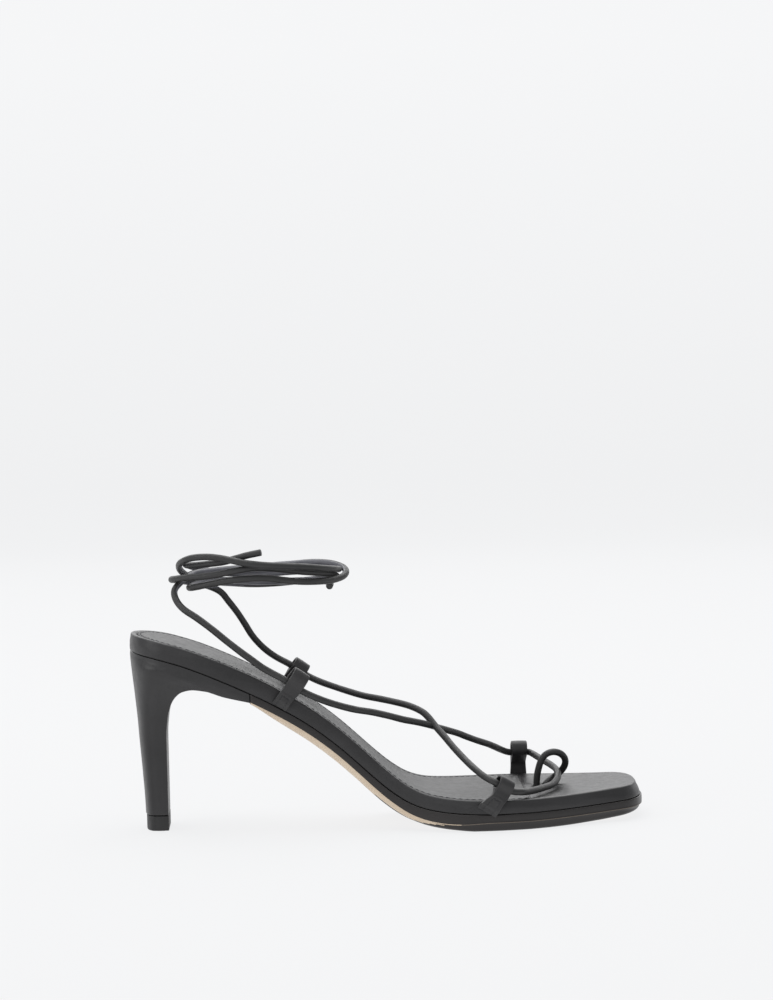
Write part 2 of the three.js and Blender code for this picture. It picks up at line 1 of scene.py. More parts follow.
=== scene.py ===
import math
import bmesh
import bpy
import numpy as np
from mathutils import Matrix, Vector
from mathutils.geometry import tessellate_polygon


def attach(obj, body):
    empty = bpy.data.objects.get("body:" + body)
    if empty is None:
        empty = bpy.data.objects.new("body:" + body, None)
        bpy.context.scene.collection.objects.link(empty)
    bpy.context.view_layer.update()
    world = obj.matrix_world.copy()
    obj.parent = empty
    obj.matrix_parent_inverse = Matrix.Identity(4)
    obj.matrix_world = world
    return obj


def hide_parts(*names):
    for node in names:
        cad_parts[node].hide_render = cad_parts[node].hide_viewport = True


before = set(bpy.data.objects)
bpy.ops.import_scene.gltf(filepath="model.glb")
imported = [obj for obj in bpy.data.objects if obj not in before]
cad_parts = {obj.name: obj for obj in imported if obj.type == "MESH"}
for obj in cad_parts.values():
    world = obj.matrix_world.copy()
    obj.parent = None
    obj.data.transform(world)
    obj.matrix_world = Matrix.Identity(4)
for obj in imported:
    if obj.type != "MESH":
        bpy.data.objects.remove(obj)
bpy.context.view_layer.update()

scene = bpy.context.scene
MM = 0.001

# ------------------------------------------------------------------ sizes, in mm
GAP = 0.3
BACK_X, HEEL_ROUND = -10.0, 20.0
TOE_X, TOE_ROUND, TOE_POWER = 213.0, 10.0, 2.6
SIDE_SPREAD = 0.5
SOCK_X1 = 163.0
HEEL_FRONT = 42.4
TIP_H = 6.6
CORD_R = 1.5
LOOP_W, LOOP_T, LOOP_WALL = 6.8, 2.4, 1.15
SLOT_HALF, RUN = 2.1, 4.3

# x, edge z, half width, middle, wall, sole, edge, round
LAST = np.array([
    (-10, 87.4, 25.4, 0.0, 7.8, 4.0, 3.6, 5), (2, 84.9, 25.5, 0.0, 7.8, 4.0, 3.6, 5),
    (10, 82.7, 25.6, -0.1, 7.8, 4.0, 3.6, 5), (20, 79.3, 26.4, -0.5, 8.0, 4.0, 3.6, 5),
    (30, 75.2, 25.7, -1.2, 8.2, 4.0, 3.6, 5), (42, 69.7, 24.3, -2.0, 8.4, 4.4, 3.8, 6),
    (55, 62.7, 23.1, -2.6, 8.2, 6.8, 4.0, 8), (68, 54.5, 22.5, -3.0, 8.0, 7.7, 4.1, 9),
    (80, 45.4, 22.4, -3.2, 8.1, 8.2, 4.2, 10), (88, 38.3, 22.5, -3.3, 8.2, 8.5, 4.3, 10),
    (96, 30.8, 23.1, -3.5, 8.1, 8.6, 4.4, 9), (104, 23.8, 24.8, -3.6, 7.6, 8.3, 4.5, 7),
    (112, 18.4, 27.9, -3.4, 6.9, 7.6, 4.7, 5), (120, 15.5, 31.9, -2.8, 6.3, 7.2, 5.0, 3),
    (130, 14.1, 36.6, -1.8, 6.1, 7.1, 5.6, 1.8), (138, 13.6, 39.1, -0.8, 6.0, 7.3, 6.1, 1.5),
    (150, 13.3, 40.5, 0.5, 6.0, 7.0, 5.9, 1.5), (162, 13.3, 39.6, 1.6, 6.0, 7.0, 5.9, 1.5),
    (172, 13.4, 36.8, 2.5, 6.0, 7.1, 5.9, 1.5), (180, 13.6, 34.0, 3.0, 6.0, 7.1, 5.8, 1.5),
    (188, 13.9, 30.7, 3.3, 6.0, 7.0, 5.6, 1.6), (196, 14.3, 27.3, 3.6, 6.0, 6.9, 5.3, 1.8),
    (204, 14.8, 23.8, 3.8, 6.0, 6.6, 4.9, 2.0), (213, 15.4, 20.4, 4.0, 6.0, 6.0, 4.3, 2.2),
], float)
COLS = {"z": 1, "half": 2, "mid": 3, "wall": 4, "sole": 5, "edge": 6, "round": 7}

# back x, back z, front x, front z, width share
HEEL = np.array([
    (-5.4, 6.9, 5.0, 6.9, 0.44), (-5.6, 13, 5.0, 13, 0.44), (-6.4, 26, 5.0, 26, 0.445),
    (-7.4, 40, 5.0, 40, 0.465), (-8.0, 49.5, 5.7, 49, 0.52), (-8.6, 56.5, 7.2, 55.3, 0.60),
    (-9.1, 62, 9.6, 59.6, 0.70), (-9.6, 67, 13.0, 62.2, 0.80), (-10.0, 71, 17.5, 63.1, 0.88),
    (-10.3, 74, 23, 62.5, 0.94), (-10.5, 76.3, 31, 59.9, 0.98), (-10.6, 77.9, 42.4, 57.2, 1.0),
], float)

LOOPS = {
    "loop_forefoot_lateral": dict(side=-1, x=144.2, z=8.0, lean=31, lo=11.3, hi=16.2, cord=13.2, over=3.4, twist=17, flare=0.34, shift=-0.5, wide=0.08),
    "loop_forefoot_medial": dict(side=1, x=163.9, z=8.0, lean=1, lo=13.3, hi=19.4, cord=15.2, over=3.6, twist=-4, flare=0.16, shift=0, wide=0.04),
    "loop_midfoot_lateral": dict(side=-1, x=54.8, z=55.2, lean=35.6, lo=9.4, hi=17.6, cord=11.3, over=2.0, twist=10, flare=0.04, shift=0, wide=0.12),
    "loop_midfoot_medial": dict(side=1, x=55.6, z=54.8, lean=35.6, lo=12.0, hi=17.4, cord=13.9, over=2.0, twist=-6, flare=0.1, shift=0, wide=0.08),
}

STRAND_A = [(72.6, 20.2, 60.9), (78.8, 18.4, 58.6), (85.9, 16.8, 56.2), (93.1, 15.2, 54.1), (100.2, 12.8, 52.8),
            (107.2, 9.9, 51.4), (112.4, 7.3, 50.2), (116.3, 4.6, 48.8), (119.3, 2.2, 47.2), (121.8, -0.2, 44.6),
            (124.2, -2.8, 41.5), (127.5, -7.6, 37.9), (130.6, -12.8, 34.3), (133.7, -18.6, 31.1), (136.8, -25.0, 28.2),
            (140.0, -31.4, 25.7), (143.2, -36.6, 23.5)]
TOE_ARC = [(158.8, -36.8, 16.4), (162.8, -31.0, 15.7), (167.4, -23.0, 15.3), (171.7, -14.5, 15.0), (175.0, -7.5, 14.9),
           (177.6, -0.5, 15.8), (179.0, 6.3, 17.2), (178.8, 12.4, 18.7), (177.0, 18.6, 19.9), (174.6, 25.0, 20.9),
           (172.2, 31.5, 21.9), (170.4, 36.6, 22.6)]
STRAND_B = [(156.6, 37.6, 24.6), (153.4, 33.0, 26.6), (149.2, 27.2, 29.1), (144.3, 21.2, 31.5), (139.5, 15.6, 34.0),
            (134.8, 10.8, 36.5), (130.0, 6.2, 38.6), (124.4, 0.0, 41.1), (119.8, -3.4, 42.9), (115.3, -6.6, 44.4),
            (109.8, -10.0, 46.0), (102.7, -14.0, 48.5), (95.6, -17.0, 50.6), (88.5, -19.4, 52.2), (81.5, -21.8, 54.4),
            (75.4, -23.9, 56.7), (70.2, -25.4, 59.1)]
RING = [(169.5, 9.9, 11.6), (169.6, 9.8, 13.4), (169.9, 9.6, 16.8), (170.8, 9.4, 20.6), (172.1, 9.3, 24.0), (174.3, 9.4, 26.3),
        (177.5, 9.7, 27.1), (180.7, 10.5, 26.1), (182.8, 12.2, 23.4), (182.8, 14.4, 20.1), (180.9, 15.6, 17.2),
        (177.7, 13.2, 15.2), (174.9, 10.0, 14.0), (173.2, 8.6, 12.2)]
RISER_A = [(54.4, 21.4, 71.8), (50.4, 21.0, 74.7), (46.9, 20.0, 78.1), (43.4, 19.0, 82.5), (40.0, 18.0, 88.4),
           (36.6, 16.8, 93.9), (33.1, 15.9, 98.7), (30.2, 15.6, 102.5)]
RISER_B = [(52.2, -26.1, 70.0), (47.9, -25.8, 72.6), (43.6, -25.3, 75.9), (40.2, -24.8, 78.4), (33.4, -23.2, 83.7),
           (26.5, -21.0, 89.4), (19.6, -18.0, 94.5), (14.3, -14.6, 97.8), (11.5, -11.6, 100.7), (10.0, -9.0, 104.1)]
# the inner tie around the ankle: three near passes, two far ones, and the end that stands up
WRAP_A = [(25.0, 14.6, 105.4), (18.5, 11.6, 107.4), (12.2, 7.2, 108.9), (9.2, 2.4, 109.7), (8.9, -2.4, 110.2),
          (10.8, -7.6, 110.8), (15.1, -12.8, 111.6), (20.5, -17.2, 112.1), (26.7, -20.6, 112.8), (35.5, -23.0, 114.5),
          (43.4, -22.6, 115.7), (50.8, -22.0, 115.6), (65.5, -19.4, 113.6), (74.0, -14.8, 112.4), (79.4, -8.6, 111.1),
          (81.9, -0.6, 109.6), (79.9, 9.0, 108.6), (72.4, 18.0, 107.2), (59.3, 23.8, 105.5), (46.7, 25.2, 105.0),
          (34.1, 23.6, 105.9), (23.0, 19.0, 107.6), (16.0, 13.0, 110.2), (12.9, 7.0, 113.0), (12.1, 1.0, 115.4),
          (12.7, -5.0, 117.3), (14.6, -10.4, 118.9), (17.6, -14.6, 120.2), (21.6, -18.1, 120.9), (27.0, -21.1, 121.0),
          (32.6, -23.3, 120.2), (38.0, -24.7, 119.0), (43.4, -25.4, 117.9), (54.7, -25.0, 116.7), (65.6, -22.5, 115.9),
          (74.2, -17.8, 114.7), (79.8, -11.4, 113.7), (82.6, -3.8, 113.0), (82.3, 4.0, 112.4), (78.0, 11.4, 111.7),
          (70.0, 16.8, 111.1), (59.0, 20.4, 110.4), (47.7, 22.0, 109.7), (34.2, 21.0, 110.5), (23.2, 16.0, 112.6),
          (17.2, 9.2, 115.0), (15.2, 2.4, 116.3), (16.0, -4.4, 116.5), (18.6, -9.8, 116.8), (22.6, -14.4, 117.3),
          (27.2, -17.5, 117.9), (32.4, -19.8, 118.7), (37.4, -20.9, 120.0), (42.6, -22.4, 121.4), (48.6, -24.0, 122.6)]
# the outer tie around the ankle: a far pass, a near one, and a last far one to its end
WRAP_B = [(10.2, -8.0, 106.2), (11.8, -6.2, 108.1), (13.8, -3.6, 109.9), (15.7, 0.0, 111.2), (18.4, 5.6, 112.0),
          (24.0, 11.6, 112.3), (34.0, 17.6, 112.6), (47.6, 20.2, 113.2), (61.2, 19.6, 114.1), (73.0, 15.4, 114.9),
          (81.0, 8.6, 114.4), (85.2, 2.5, 113.0), (86.0, -1.8, 111.5), (84.8, -6.2, 110.1), (81.6, -10.4, 109.2),
          (76.9, -14.8, 108.8), (65.4, -21.4, 109.3), (57.2, -23.4, 110.4), (51.5, -24.0, 111.3), (43.3, -24.0, 111.4),
          (34.9, -23.1, 110.7), (29.2, -21.3, 109.7), (23.5, -18.2, 108.5), (18.9, -13.8, 107.4), (16.8, -8.0, 106.8),
          (17.2, -1.8, 106.8), (19.6, 4.6, 107.3), (24.6, 11.2, 107.8), (34.0, 17.6, 107.6), (47.6, 19.8, 106.5),
          (61.0, 18.0, 106.6), (71.0, 12.6, 107.0), (77.0, 5.2, 107.0), (78.9, -1.8, 106.6), (78.4, -8.2, 105.9)]


# ------------------------------------------------------------------ curves and profiles
def hermite(xs, ys, x):
    """Smooth monotone value through rows (xs, ys)."""
    d = np.diff(ys) / np.diff(xs)
    m = np.empty_like(ys)
    m[0], m[-1] = d[0], d[-1]
    a, b = d[:-1], d[1:]
    with np.errstate(divide="ignore", invalid="ignore"):
        h = 2 * a * b / (a + b)
    m[1:-1] = np.where(a * b > 0, h, 0.0)
    x = np.asarray(x, float)
    i = np.clip(np.searchsorted(xs, x) - 1, 0, len(xs) - 2)
    w = xs[i + 1] - xs[i]
    t = np.clip((x - xs[i]) / w, 0, 1)
    out = (2 * t**3 - 3 * t**2 + 1) * ys[i] + (t**3 - 2 * t**2 + t) * m[i] * w + (-2 * t**3 + 3 * t**2) * ys[i + 1] + (t**3 - t**2) * m[i + 1] * w
    out = np.where(x < xs[0], ys[0] + (x - xs[0]) * m[0], out)
    return np.where(x > xs[-1], ys[-1] + (x - xs[-1]) * m[-1], out)


GRID = np.arange(-30, 233.01, 0.5)
_K = np.exp(-0.5 * (np.arange(-12, 13) * 0.5 / 1.8) ** 2)
_K /= _K.sum()
_TAB = {}
for _k, _c in COLS.items():
    _y = hermite(LAST[:, 0], LAST[:, _c], GRID)
    _s = np.convolve(np.pad(_y, 12, mode="reflect", reflect_type="odd"), _K, mode="valid")
    _TAB[_k] = _s


def col(key, x):
    return np.interp(x, GRID, _TAB[key])


def sstep(a, b, x):
    t = np.clip((np.asarray(x, float) - a) / (b - a), 0, 1)
    return t * t * (3 - 2 * t)


def end_factor(x):
    x = np.asarray(x, float)
    a = np.clip((BACK_X + HEEL_ROUND - x) / HEEL_ROUND, 0, 1)
    b = np.clip((x - TOE_X + TOE_ROUND) / TOE_ROUND, 0, 1)
    return np.sqrt(1 - a**2) * (1 - b**TOE_POWER) ** (1 / TOE_POWER)


def half(x):
    return col("half", x) * end_factor(x)


def edge_z(x):
    return col("z", x)


def wall_z(x):
    return col("z", x) - col("wall", x)


def sole_z(x):
    x = np.asarray(x, float)
    z = np.maximum(0.0, wall_z(x) - GAP - col("sole", x))
    return np.where((x >= 138) & (x <= 172), 0.0, z)


def wave(x, y, z, seed, size):
    """Gentle repeatable noise from a few crossed waves, about -1 to 1."""
    rng = np.random.default_rng(seed)
    out = 0.0
    for _ in range(6):
        k = rng.normal(size=3)
        k *= (0.6 + rng.random() * 1.1) * 2 * math.pi / (np.linalg.norm(k) * size)
        out = out + np.sin(k[0] * x + k[1] * y + k[2] * z + rng.random() * 6.28)
    return out / 3.0


# ------------------------------------------------------------------ mesh helpers
def build(name, verts, faces, mats, index=None, weld=0.02, smooth=True, sharp=None):
    me = bpy.data.meshes.new(name)
    me.from_pydata((np.asarray(verts, float) * MM).tolist(), [], faces)
    for m in mats:
        me.materials.append(m)
    if index is not None:
        me.polygons.foreach_set("material_index", np.asarray(index, np.int32))
    bm = bmesh.new()
    bm.from_mesh(me)
    if weld:
        bmesh.ops.remove_doubles(bm, verts=bm.verts, dist=weld * MM)
        bmesh.ops.dissolve_degenerate(bm, edges=bm.edges, dist=weld * MM * 0.5)
    bmesh.ops.recalc_face_normals(bm, faces=bm.faces)
    bm.to_mesh(me)
    bm.free()
    if smooth:
        me.shade_smooth()
    if sharp is not None:
        me.set_sharp_from_angle(angle=math.radians(sharp))
    ob = bpy.data.objects.new(name, me)
    scene.collection.objects.link(ob)
    return ob


def grid_faces(rows, n, closed=True):
    """Quads between consecutive rows of n points."""
    out = []
    m = n if closed else n - 1
    for i in range(rows - 1):
        for j in range(m):
            a, b = i * n + j, i * n + (j + 1) % n
            out.append((a, b, b + n, a + n))
    return out


def catmull(pts, step=0.55, soft=1.0):
    """Even points along a smooth curve through pts."""
    p = np.asarray(pts, float)
    p = np.vstack([2 * p[0] - p[1], p, 2 * p[-1] - p[-2]])
    out = []
    for i in range(1, len(p) - 2):
        p0, p1, p2, p3 = p[i - 1:i + 3]
        t0 = 0.0
        t1 = t0 + np.linalg.norm(p1 - p0) ** 0.5
        t2 = t1 + np.linalg.norm(p2 - p1) ** 0.5
        t3 = t2 + np.linalg.norm(p3 - p2) ** 0.5
        for t in np.linspace(t1, t2, 24, endpoint=False):
            a1 = (t1 - t) / (t1 - t0) * p0 + (t - t0) / (t1 - t0) * p1
            a2 = (t2 - t) / (t2 - t1) * p1 + (t - t1) / (t2 - t1) * p2
            a3 = (t3 - t) / (t3 - t2) * p2 + (t - t2) / (t3 - t2) * p3
            b1 = (t2 - t) / (t2 - t0) * a1 + (t - t0) / (t2 - t0) * a2
            b2 = (t3 - t) / (t3 - t1) * a2 + (t - t1) / (t3 - t1) * a3
            out.append((t2 - t) / (t2 - t1) * b1 + (t - t1) / (t2 - t1) * b2)
    out.append(p[-2])
    q = np.array(out)
    q = resample(q, step)
    if soft:
        k = max(1, int(round(3 * soft / step)))
        w = np.exp(-0.5 * (np.arange(-k, k + 1) * step / soft) ** 2)
        w /= w.sum()
        q = np.stack([np.convolve(np.pad(q[:, c], k, mode="reflect", reflect_type="odd"), w, mode="valid") for c in range(3)], 1)
        q = resample(q, step)
    return q


def resample(q, step):
    s = np.r_[0, np.cumsum(np.linalg.norm(np.diff(q, axis=0), axis=1))]
    n = max(3, int(round(s[-1] / step)) + 1)
    t = np.linspace(0, s[-1], n)
    return np.stack([np.interp(t, s, q[:, c]) for c in range(3)], 1)


def length(q):
    return float(np.linalg.norm(np.diff(q, axis=0), axis=1).sum())


def tube(name, path, radius, mat, sides=20, seed=1, flat=0.0):
    """A closed round cord along an even path, its ends cut flat with a small round."""
    t = np.gradient(path, axis=0)
    t /= np.linalg.norm(t, axis=1)[:, None]
    u = np.cross(t[0], [0, 0, 1.0])
    u /= np.linalg.norm(u)
    n = len(path)
    rings = []
    s = np.r_[0, np.cumsum(np.linalg.norm(np.diff(path, axis=0), axis=1))]
    ang = np.linspace(0, 2 * math.pi, sides, endpoint=False)
    for i in range(n):
        u = u - t[i] * (u @ t[i])
        u /= np.linalg.norm(u)
        v = np.cross(t[i], u)
        r = radius * (1 + 0.012 * math.sin(s[i] / 5.3 + seed) + 0.010 * math.sin(s[i] / 2.1 + 2 * seed) + 0.012 * math.sin(s[i] / 13.7 + 3 * seed))
        prof = r * (1 + 0.008 * np.sin(3 * ang + s[i] / 4.0 + seed)) * (1 - flat * np.cos(2 * ang))
        rings.append(path[i] + np.outer(prof * np.cos(ang), u) + np.outer(prof * np.sin(ang), v))
    first = [path[0] + (rings[0] - path[0]) * 0.4 - t[0] * 0.14, path[0] + (rings[0] - path[0]) * 0.9 - t[0] * 0.1]
    last = [path[-1] + (rings[-1] - path[-1]) * 0.9 + t[-1] * 0.1, path[-1] + (rings[-1] - path[-1]) * 0.4 + t[-1] * 0.14]
    rings = first + rings + last
    verts = np.vstack(rings)
    faces = grid_faces(len(rings), sides)
    a, b = len(verts), len(verts) + 1
    verts = np.vstack([verts, path[0] - t[0] * 0.15, path[-1] + t[-1] * 0.15])
    base = (len(rings) - 1) * sides
    for j in range(sides):
        faces.append((a, (j + 1) % sides, j))
        faces.append((b, base + j, base + (j + 1) % sides))
    return build(name, verts, faces, [mat], weld=0)


# ------------------------------------------------------------------ materials
def nodes_of(name):
    m = bpy.data.materials.new(name)
    m.use_nodes = True
    nt = m.node_tree
    nt.nodes.clear()
    out = nt.nodes.new("ShaderNodeOutputMaterial")
    b = nt.nodes.new("ShaderNodeBsdfPrincipled")
    nt.links.new(b.outputs[0], out.inputs[0])
    return m, nt, b


def tex_coord(nt, scale=(1000, 1000, 1000)):
    c = nt.nodes.new("ShaderNodeTexCoord")
    mp = nt.nodes.new("ShaderNodeMapping")
    mp.inputs["Scale"].default_value = scale
    nt.links.new(c.outputs["Object"], mp.inputs["Vector"])
    return mp.outputs[0]


def noise(nt, vec, scale, detail=3.0, rough=0.5, distort=0.0):
    n = nt.nodes.new("ShaderNodeTexNoise")
    n.inputs["Scale"].default_value = scale
    n.inputs["Detail"].default_value = detail
    n.inputs["Roughness"].default_value = rough
    n.inputs["Distortion"].default_value = distort
    nt.links.new(vec, n.inputs["Vector"])
    return n.outputs["Fac"]


def ramp(nt, fac, stops):
    r = nt.nodes.new("ShaderNodeValToRGB")
    e = r.color_ramp.elements
    while len(e) < len(stops):
        e.new(0.5)
    for el, (p, c) in zip(e, stops):
        el.position = p
        el.color = (*c, 1) if len(c) == 3 else c
    nt.links.new(fac, r.inputs["Fac"])
    return r.outputs["Color"]


def to_range(nt, fac, lo, hi, a=0.3, b=0.7):
    r = nt.nodes.new("ShaderNodeMapRange")
    r.inputs["From Min"].default_value = a
    r.inputs["From Max"].default_value = b
    r.inputs["To Min"].default_value = lo
    r.inputs["To Max"].default_value = hi
    nt.links.new(fac, r.inputs["Value"])
    return r.outputs[0]


def bump(nt, height, strength, dist_mm, before=None):
    b = nt.nodes.new("ShaderNodeBump")
    b.inputs["Strength"].default_value = strength
    b.inputs["Distance"].default_value = dist_mm * MM
    nt.links.new(height, b.inputs["Height"])
    if before is not None:
        nt.links.new(before, b.inputs["Normal"])
    return b.outputs[0]


def leather(name, dark, light, rough=(0.36, 0.5), grain=0.35, grain_mm=0.55, pucker=0.25, pucker_mm=3.0, spec=0.5, stretch=(1, 1, 1), coat=0.0):
    m, nt, b = nodes_of(name)
    v = tex_coord(nt, tuple(1000 * s for s in stretch))
    tone = noise(nt, v, 0.055, 4, 0.55)
    fine = noise(nt, v, 1.4, 3, 0.6)
    mix = nt.nodes.new("ShaderNodeMath")
    mix.operation = "MULTIPLY_ADD"
    mix.inputs[1].default_value = 0.35
    nt.links.new(fine, mix.inputs[0])
    t2 = to_range(nt, tone, -0.12, 0.55, 0.25, 0.75)
    nt.links.new(t2, mix.inputs[2])
    nt.links.new(ramp(nt, mix.outputs[0], [(0.1, dark), (0.75, light)]), b.inputs["Base Color"])
    nt.links.new(to_range(nt, noise(nt, v, 0.35, 4, 0.6), rough[0], rough[1]), b.inputs["Roughness"])
    vor = nt.nodes.new("ShaderNodeTexVoronoi")
    vor.feature = "DISTANCE_TO_EDGE"
    vor.inputs["Scale"].default_value = 1.0 / grain_mm
    dv = nt.nodes.new("ShaderNodeTexNoise")
    dv.inputs["Scale"].default_value = 1.1
    nt.links.new(v, dv.inputs["Vector"])
    add = nt.nodes.new("ShaderNodeVectorMath")
    add.operation = "MULTIPLY_ADD"
    add.inputs[1].default_value = (0.5, 0.5, 0.5)
    nt.links.new(dv.outputs["Color"], add.inputs[0])
    nt.links.new(v, add.inputs[2])
    nt.links.new(add.outputs[0], vor.inputs["Vector"])
    cells = to_range(nt, vor.outputs["Distance"], 0.0, 1.0, 0.0, 0.16)
    n1 = bump(nt, noise(nt, v, 1.0 / pucker_mm, 3, 0.5, 0.4), pucker, 0.35)
    n2 = bump(nt, cells, grain, 0.035, n1)
    n3 = bump(nt, noise(nt, v, 5.0, 2, 0.6), grain * 0.7, 0.02, n2)
    nt.links.new(n3, b.inputs["Normal"])
    b.inputs["Specular IOR Level"].default_value = spec
    b.inputs["Coat Weight"].default_value = coat
    b.inputs["Coat Roughness"].default_value = 0.3
    return m


BLACK = leather("black_leather", (0.014, 0.0135, 0.0145), (0.026, 0.025, 0.0265), rough=(0.34, 0.46), grain=0.28, pucker=0.16)
HEEL_SKIN = leather("heel_leather", (0.015, 0.0145, 0.0155), (0.027, 0.026, 0.0275), rough=(0.34, 0.45), grain=0.24, pucker=0.14, stretch=(1, 1, 0.7))
SOCK_SKIN = leather("insole_leather", (0.026, 0.026, 0.0265), (0.044, 0.0435, 0.044), rough=(0.45, 0.56), grain=0.26, grain_mm=0.45, pucker=0.12)
STRAP = leather("strap_leather", (0.017, 0.0165, 0.0175), (0.032, 0.031, 0.032), rough=(0.36, 0.48), grain=0.32, grain_mm=0.5, pucker=0.2, pucker_mm=2.2)
CORD_SKIN = leather("cord_leather", (0.017, 0.0168, 0.0172), (0.034, 0.0335, 0.034), rough=(0.4, 0.54), grain=0.38, grain_mm=0.42, pucker=0.3, pucker_mm=1.5)
NUDE = leather("natural_leather", (0.56, 0.44, 0.32), (0.74, 0.62, 0.48), rough=(0.42, 0.6), grain=0.25, grain_mm=0.5, pucker=0.1, spec=0.4)
LINE = leather("sole_line", (0.12, 0.098, 0.078), (0.20, 0.165, 0.13), rough=(0.45, 0.6), grain=0.2, pucker=0.1)
EDGE = leather("painted_edge", (0.010, 0.0085, 0.0085), (0.022, 0.018, 0.0175), rough=(0.3, 0.42), grain=0.15, pucker=0.12, stretch=(0.4, 0.4, 1.6))
RUBBER = leather("black_rubber", (0.012, 0.012, 0.0125), (0.022, 0.022, 0.0225), rough=(0.5, 0.65), grain=0.12, pucker=0.05)
THREAD = leather("thread", (0.012, 0.012, 0.016), (0.03, 0.03, 0.038), rough=(0.5, 0.65), grain=0.5, grain_mm=0.2, pucker=0.0)
THREAD2 = leather("strap_thread", (0.014, 0.014, 0.016), (0.035, 0.035, 0.04), rough=(0.5, 0.65), grain=0.5, grain_mm=0.2, pucker=0.0)
# painted sheen: a lighter, glossier copy of the cord leather that stands in for the light the inward faces of the
# ankle wrap catch
CORD_PAINTED_SHEEN = leather("cord_painted_sheen", (0.080, 0.080, 0.092), (0.155, 0.155, 0.178), rough=(0.3, 0.42), grain=0.3, grain_mm=0.42, pucker=0.2, pucker_mm=1.5)
CORE = leather("cut_end", (0.03, 0.029, 0.029), (0.07, 0.068, 0.066), rough=(0.7, 0.85), grain=0.6, grain_mm=0.3, pucker=0.2)


# ------------------------------------------------------------------ camera
def camera():
    a, p, r = math.radians(-2.0), math.radians(3.04), math.radians(-1.37)
    f = Vector((-math.sin(a) * math.cos(p), math.cos(a) * math.cos(p), -math.sin(p)))
    right = Vector((math.cos(a), math.sin(a), 0))
    up = right.cross(f)
    r2 = math.cos(r) * right + math.sin(r) * up
    u2 = -math.sin(r) * right + math.cos(r) * up
    cam = bpy.data.cameras.new("camera")
    cam.sensor_width = 36
    cam.sensor_fit = "AUTO"
    cam.lens = 108
    cam.clip_start, cam.clip_end = 0.05, 20
    ob = bpy.data.objects.new("camera", cam)
    m = Matrix((r2, u2, -f)).transposed().to_4x4()
    m.translation = Vector((58.41, -1327.32, 213.34)) * MM
    ob.matrix_world = m
    scene.collection.objects.link(ob)
    scene.camera = ob
    bpy.context.scene.camera = ob


camera()


# ------------------------------------------------------------------ loops' frames
def loop_frame(r):
    lean = math.radians(r["lean"])
    out = np.array([0, r["side"], 0.0])
    up = np.array([math.sin(lean), 0, math.cos(lean)])
    fwd = np.array([math.cos(lean), 0, -math.sin(lean)])
    wall = max(float(half(r["x"] + d)) + r["side"] * float(col("mid", r["x"] + d)) for d in (-4, 0, 4, 8))
    foot = np.array([r["x"], r["side"] * (wall + SIDE_SPREAD + 0.35 + GAP), r["z"]])
    return out, up, fwd, foot


def loop_place(r, a, b, w):
    """Frame point from outward a, up b, across w, with the strap's twist and flare."""
    out, up, fwd, foot = loop_frame(r)
    a, b, w = (np.asarray(v, float) for v in (a, b, w))
    knee = r["lo"] - 3.2
    tw = np.radians(r["twist"]) * sstep(knee * 0.5, r["lo"] + 1, b)
    centre = LOOP_T / 2 - r["over"] * sstep(knee * 0.4, r["lo"], b)
    low = 1 - sstep(0, knee + 1, b)
    w = w * (1 + r["flare"] * low + r["wide"] * sstep(knee - 1, r["lo"] + 2, b)) + r["shift"] * low * 2
    foot_in = 1 - sstep(0.0, 3.4, b)
    a = a * (1 - 0.62 * foot_in) - 0.75 * foot_in
    da = a - centre
    a2 = centre + da * np.cos(tw) - w * np.sin(tw)
    w2 = w * np.cos(tw) + da * np.sin(tw)
    return foot + np.multiply.outer(a2, out) + np.multiply.outer(b, up) + np.multiply.outer(w2, fwd)


def in_slot(name, d):
    r = LOOPS[name]
    return loop_place(r, LOOP_T / 2 - r["over"], r["cord"], d)


# ------------------------------------------------------------------ the lace and its two ties
def cord_path(pts, soft=1.0):
    return catmull(pts, 0.55, soft)


lace_pts = ([in_slot("loop_midfoot_medial", d) for d in (0.4, 2.2, RUN)] + STRAND_A
            + [in_slot("loop_forefoot_lateral", d) for d in (-RUN, 0, RUN)] + TOE_ARC
            + [in_slot("loop_forefoot_medial", d) for d in (RUN, 0, -RUN)] + STRAND_B
            + [in_slot("loop_midfoot_lateral", d) for d in (RUN, 2.2, 0.4)])
lace_path = cord_path(lace_pts)
lace = tube("lace_instep_cord", lace_path, CORD_R, CORD_SKIN, seed=1)
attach(lace, "root")
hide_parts("lace_instep")

ring_path = cord_path(RING, 0.7)
ring = tube("toe_ring_cord", ring_path, CORD_R, CORD_SKIN, seed=2)
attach(ring, "root")
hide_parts("toe_ring")

tie_a_path = cord_path([in_slot("loop_midfoot_medial", d) for d in (0.0, -2.2, -RUN)] + RISER_A + WRAP_A)
tie_b_path = cord_path([in_slot("loop_midfoot_lateral", d) for d in (0.0, -2.2, -RUN)] + RISER_B + WRAP_B)
for name, path, nodes, seed in (
    ("tie_inner", tie_a_path, ("tie_riser_medial", "tie_end", "ankle_wrap"), 3),
    ("tie_outer", tie_b_path, ("tie_riser_lateral",), 4),
):
    ob = tube(name, path, CORD_R, CORD_SKIN, seed=seed)
    ob.data.materials.append(CORD_PAINTED_SHEEN)
    ob.data.materials.append(CORE)
    # wrap faces above 104.5 mm that turn in towards the ankle get the painted sheen, so the far passes look lit; the
    # cut-end triangles get the cut-end leather
    for poly in ob.data.polygons:
        c, nn = poly.center, poly.normal
        rx, ry = (c.x - 0.0474) / 0.0356, c.y / 0.0236
        rl = math.hypot(rx, ry) or 1.0
        if c.z > 0.1045 and (nn.x * rx + nn.y * ry) / rl < -0.3:
            poly.material_index = 1
        if len(poly.vertices) == 3:
            poly.material_index = 2
    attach(ob, "root")
    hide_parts(*nodes)
    print(name, "length mm", round(length(path), 1))


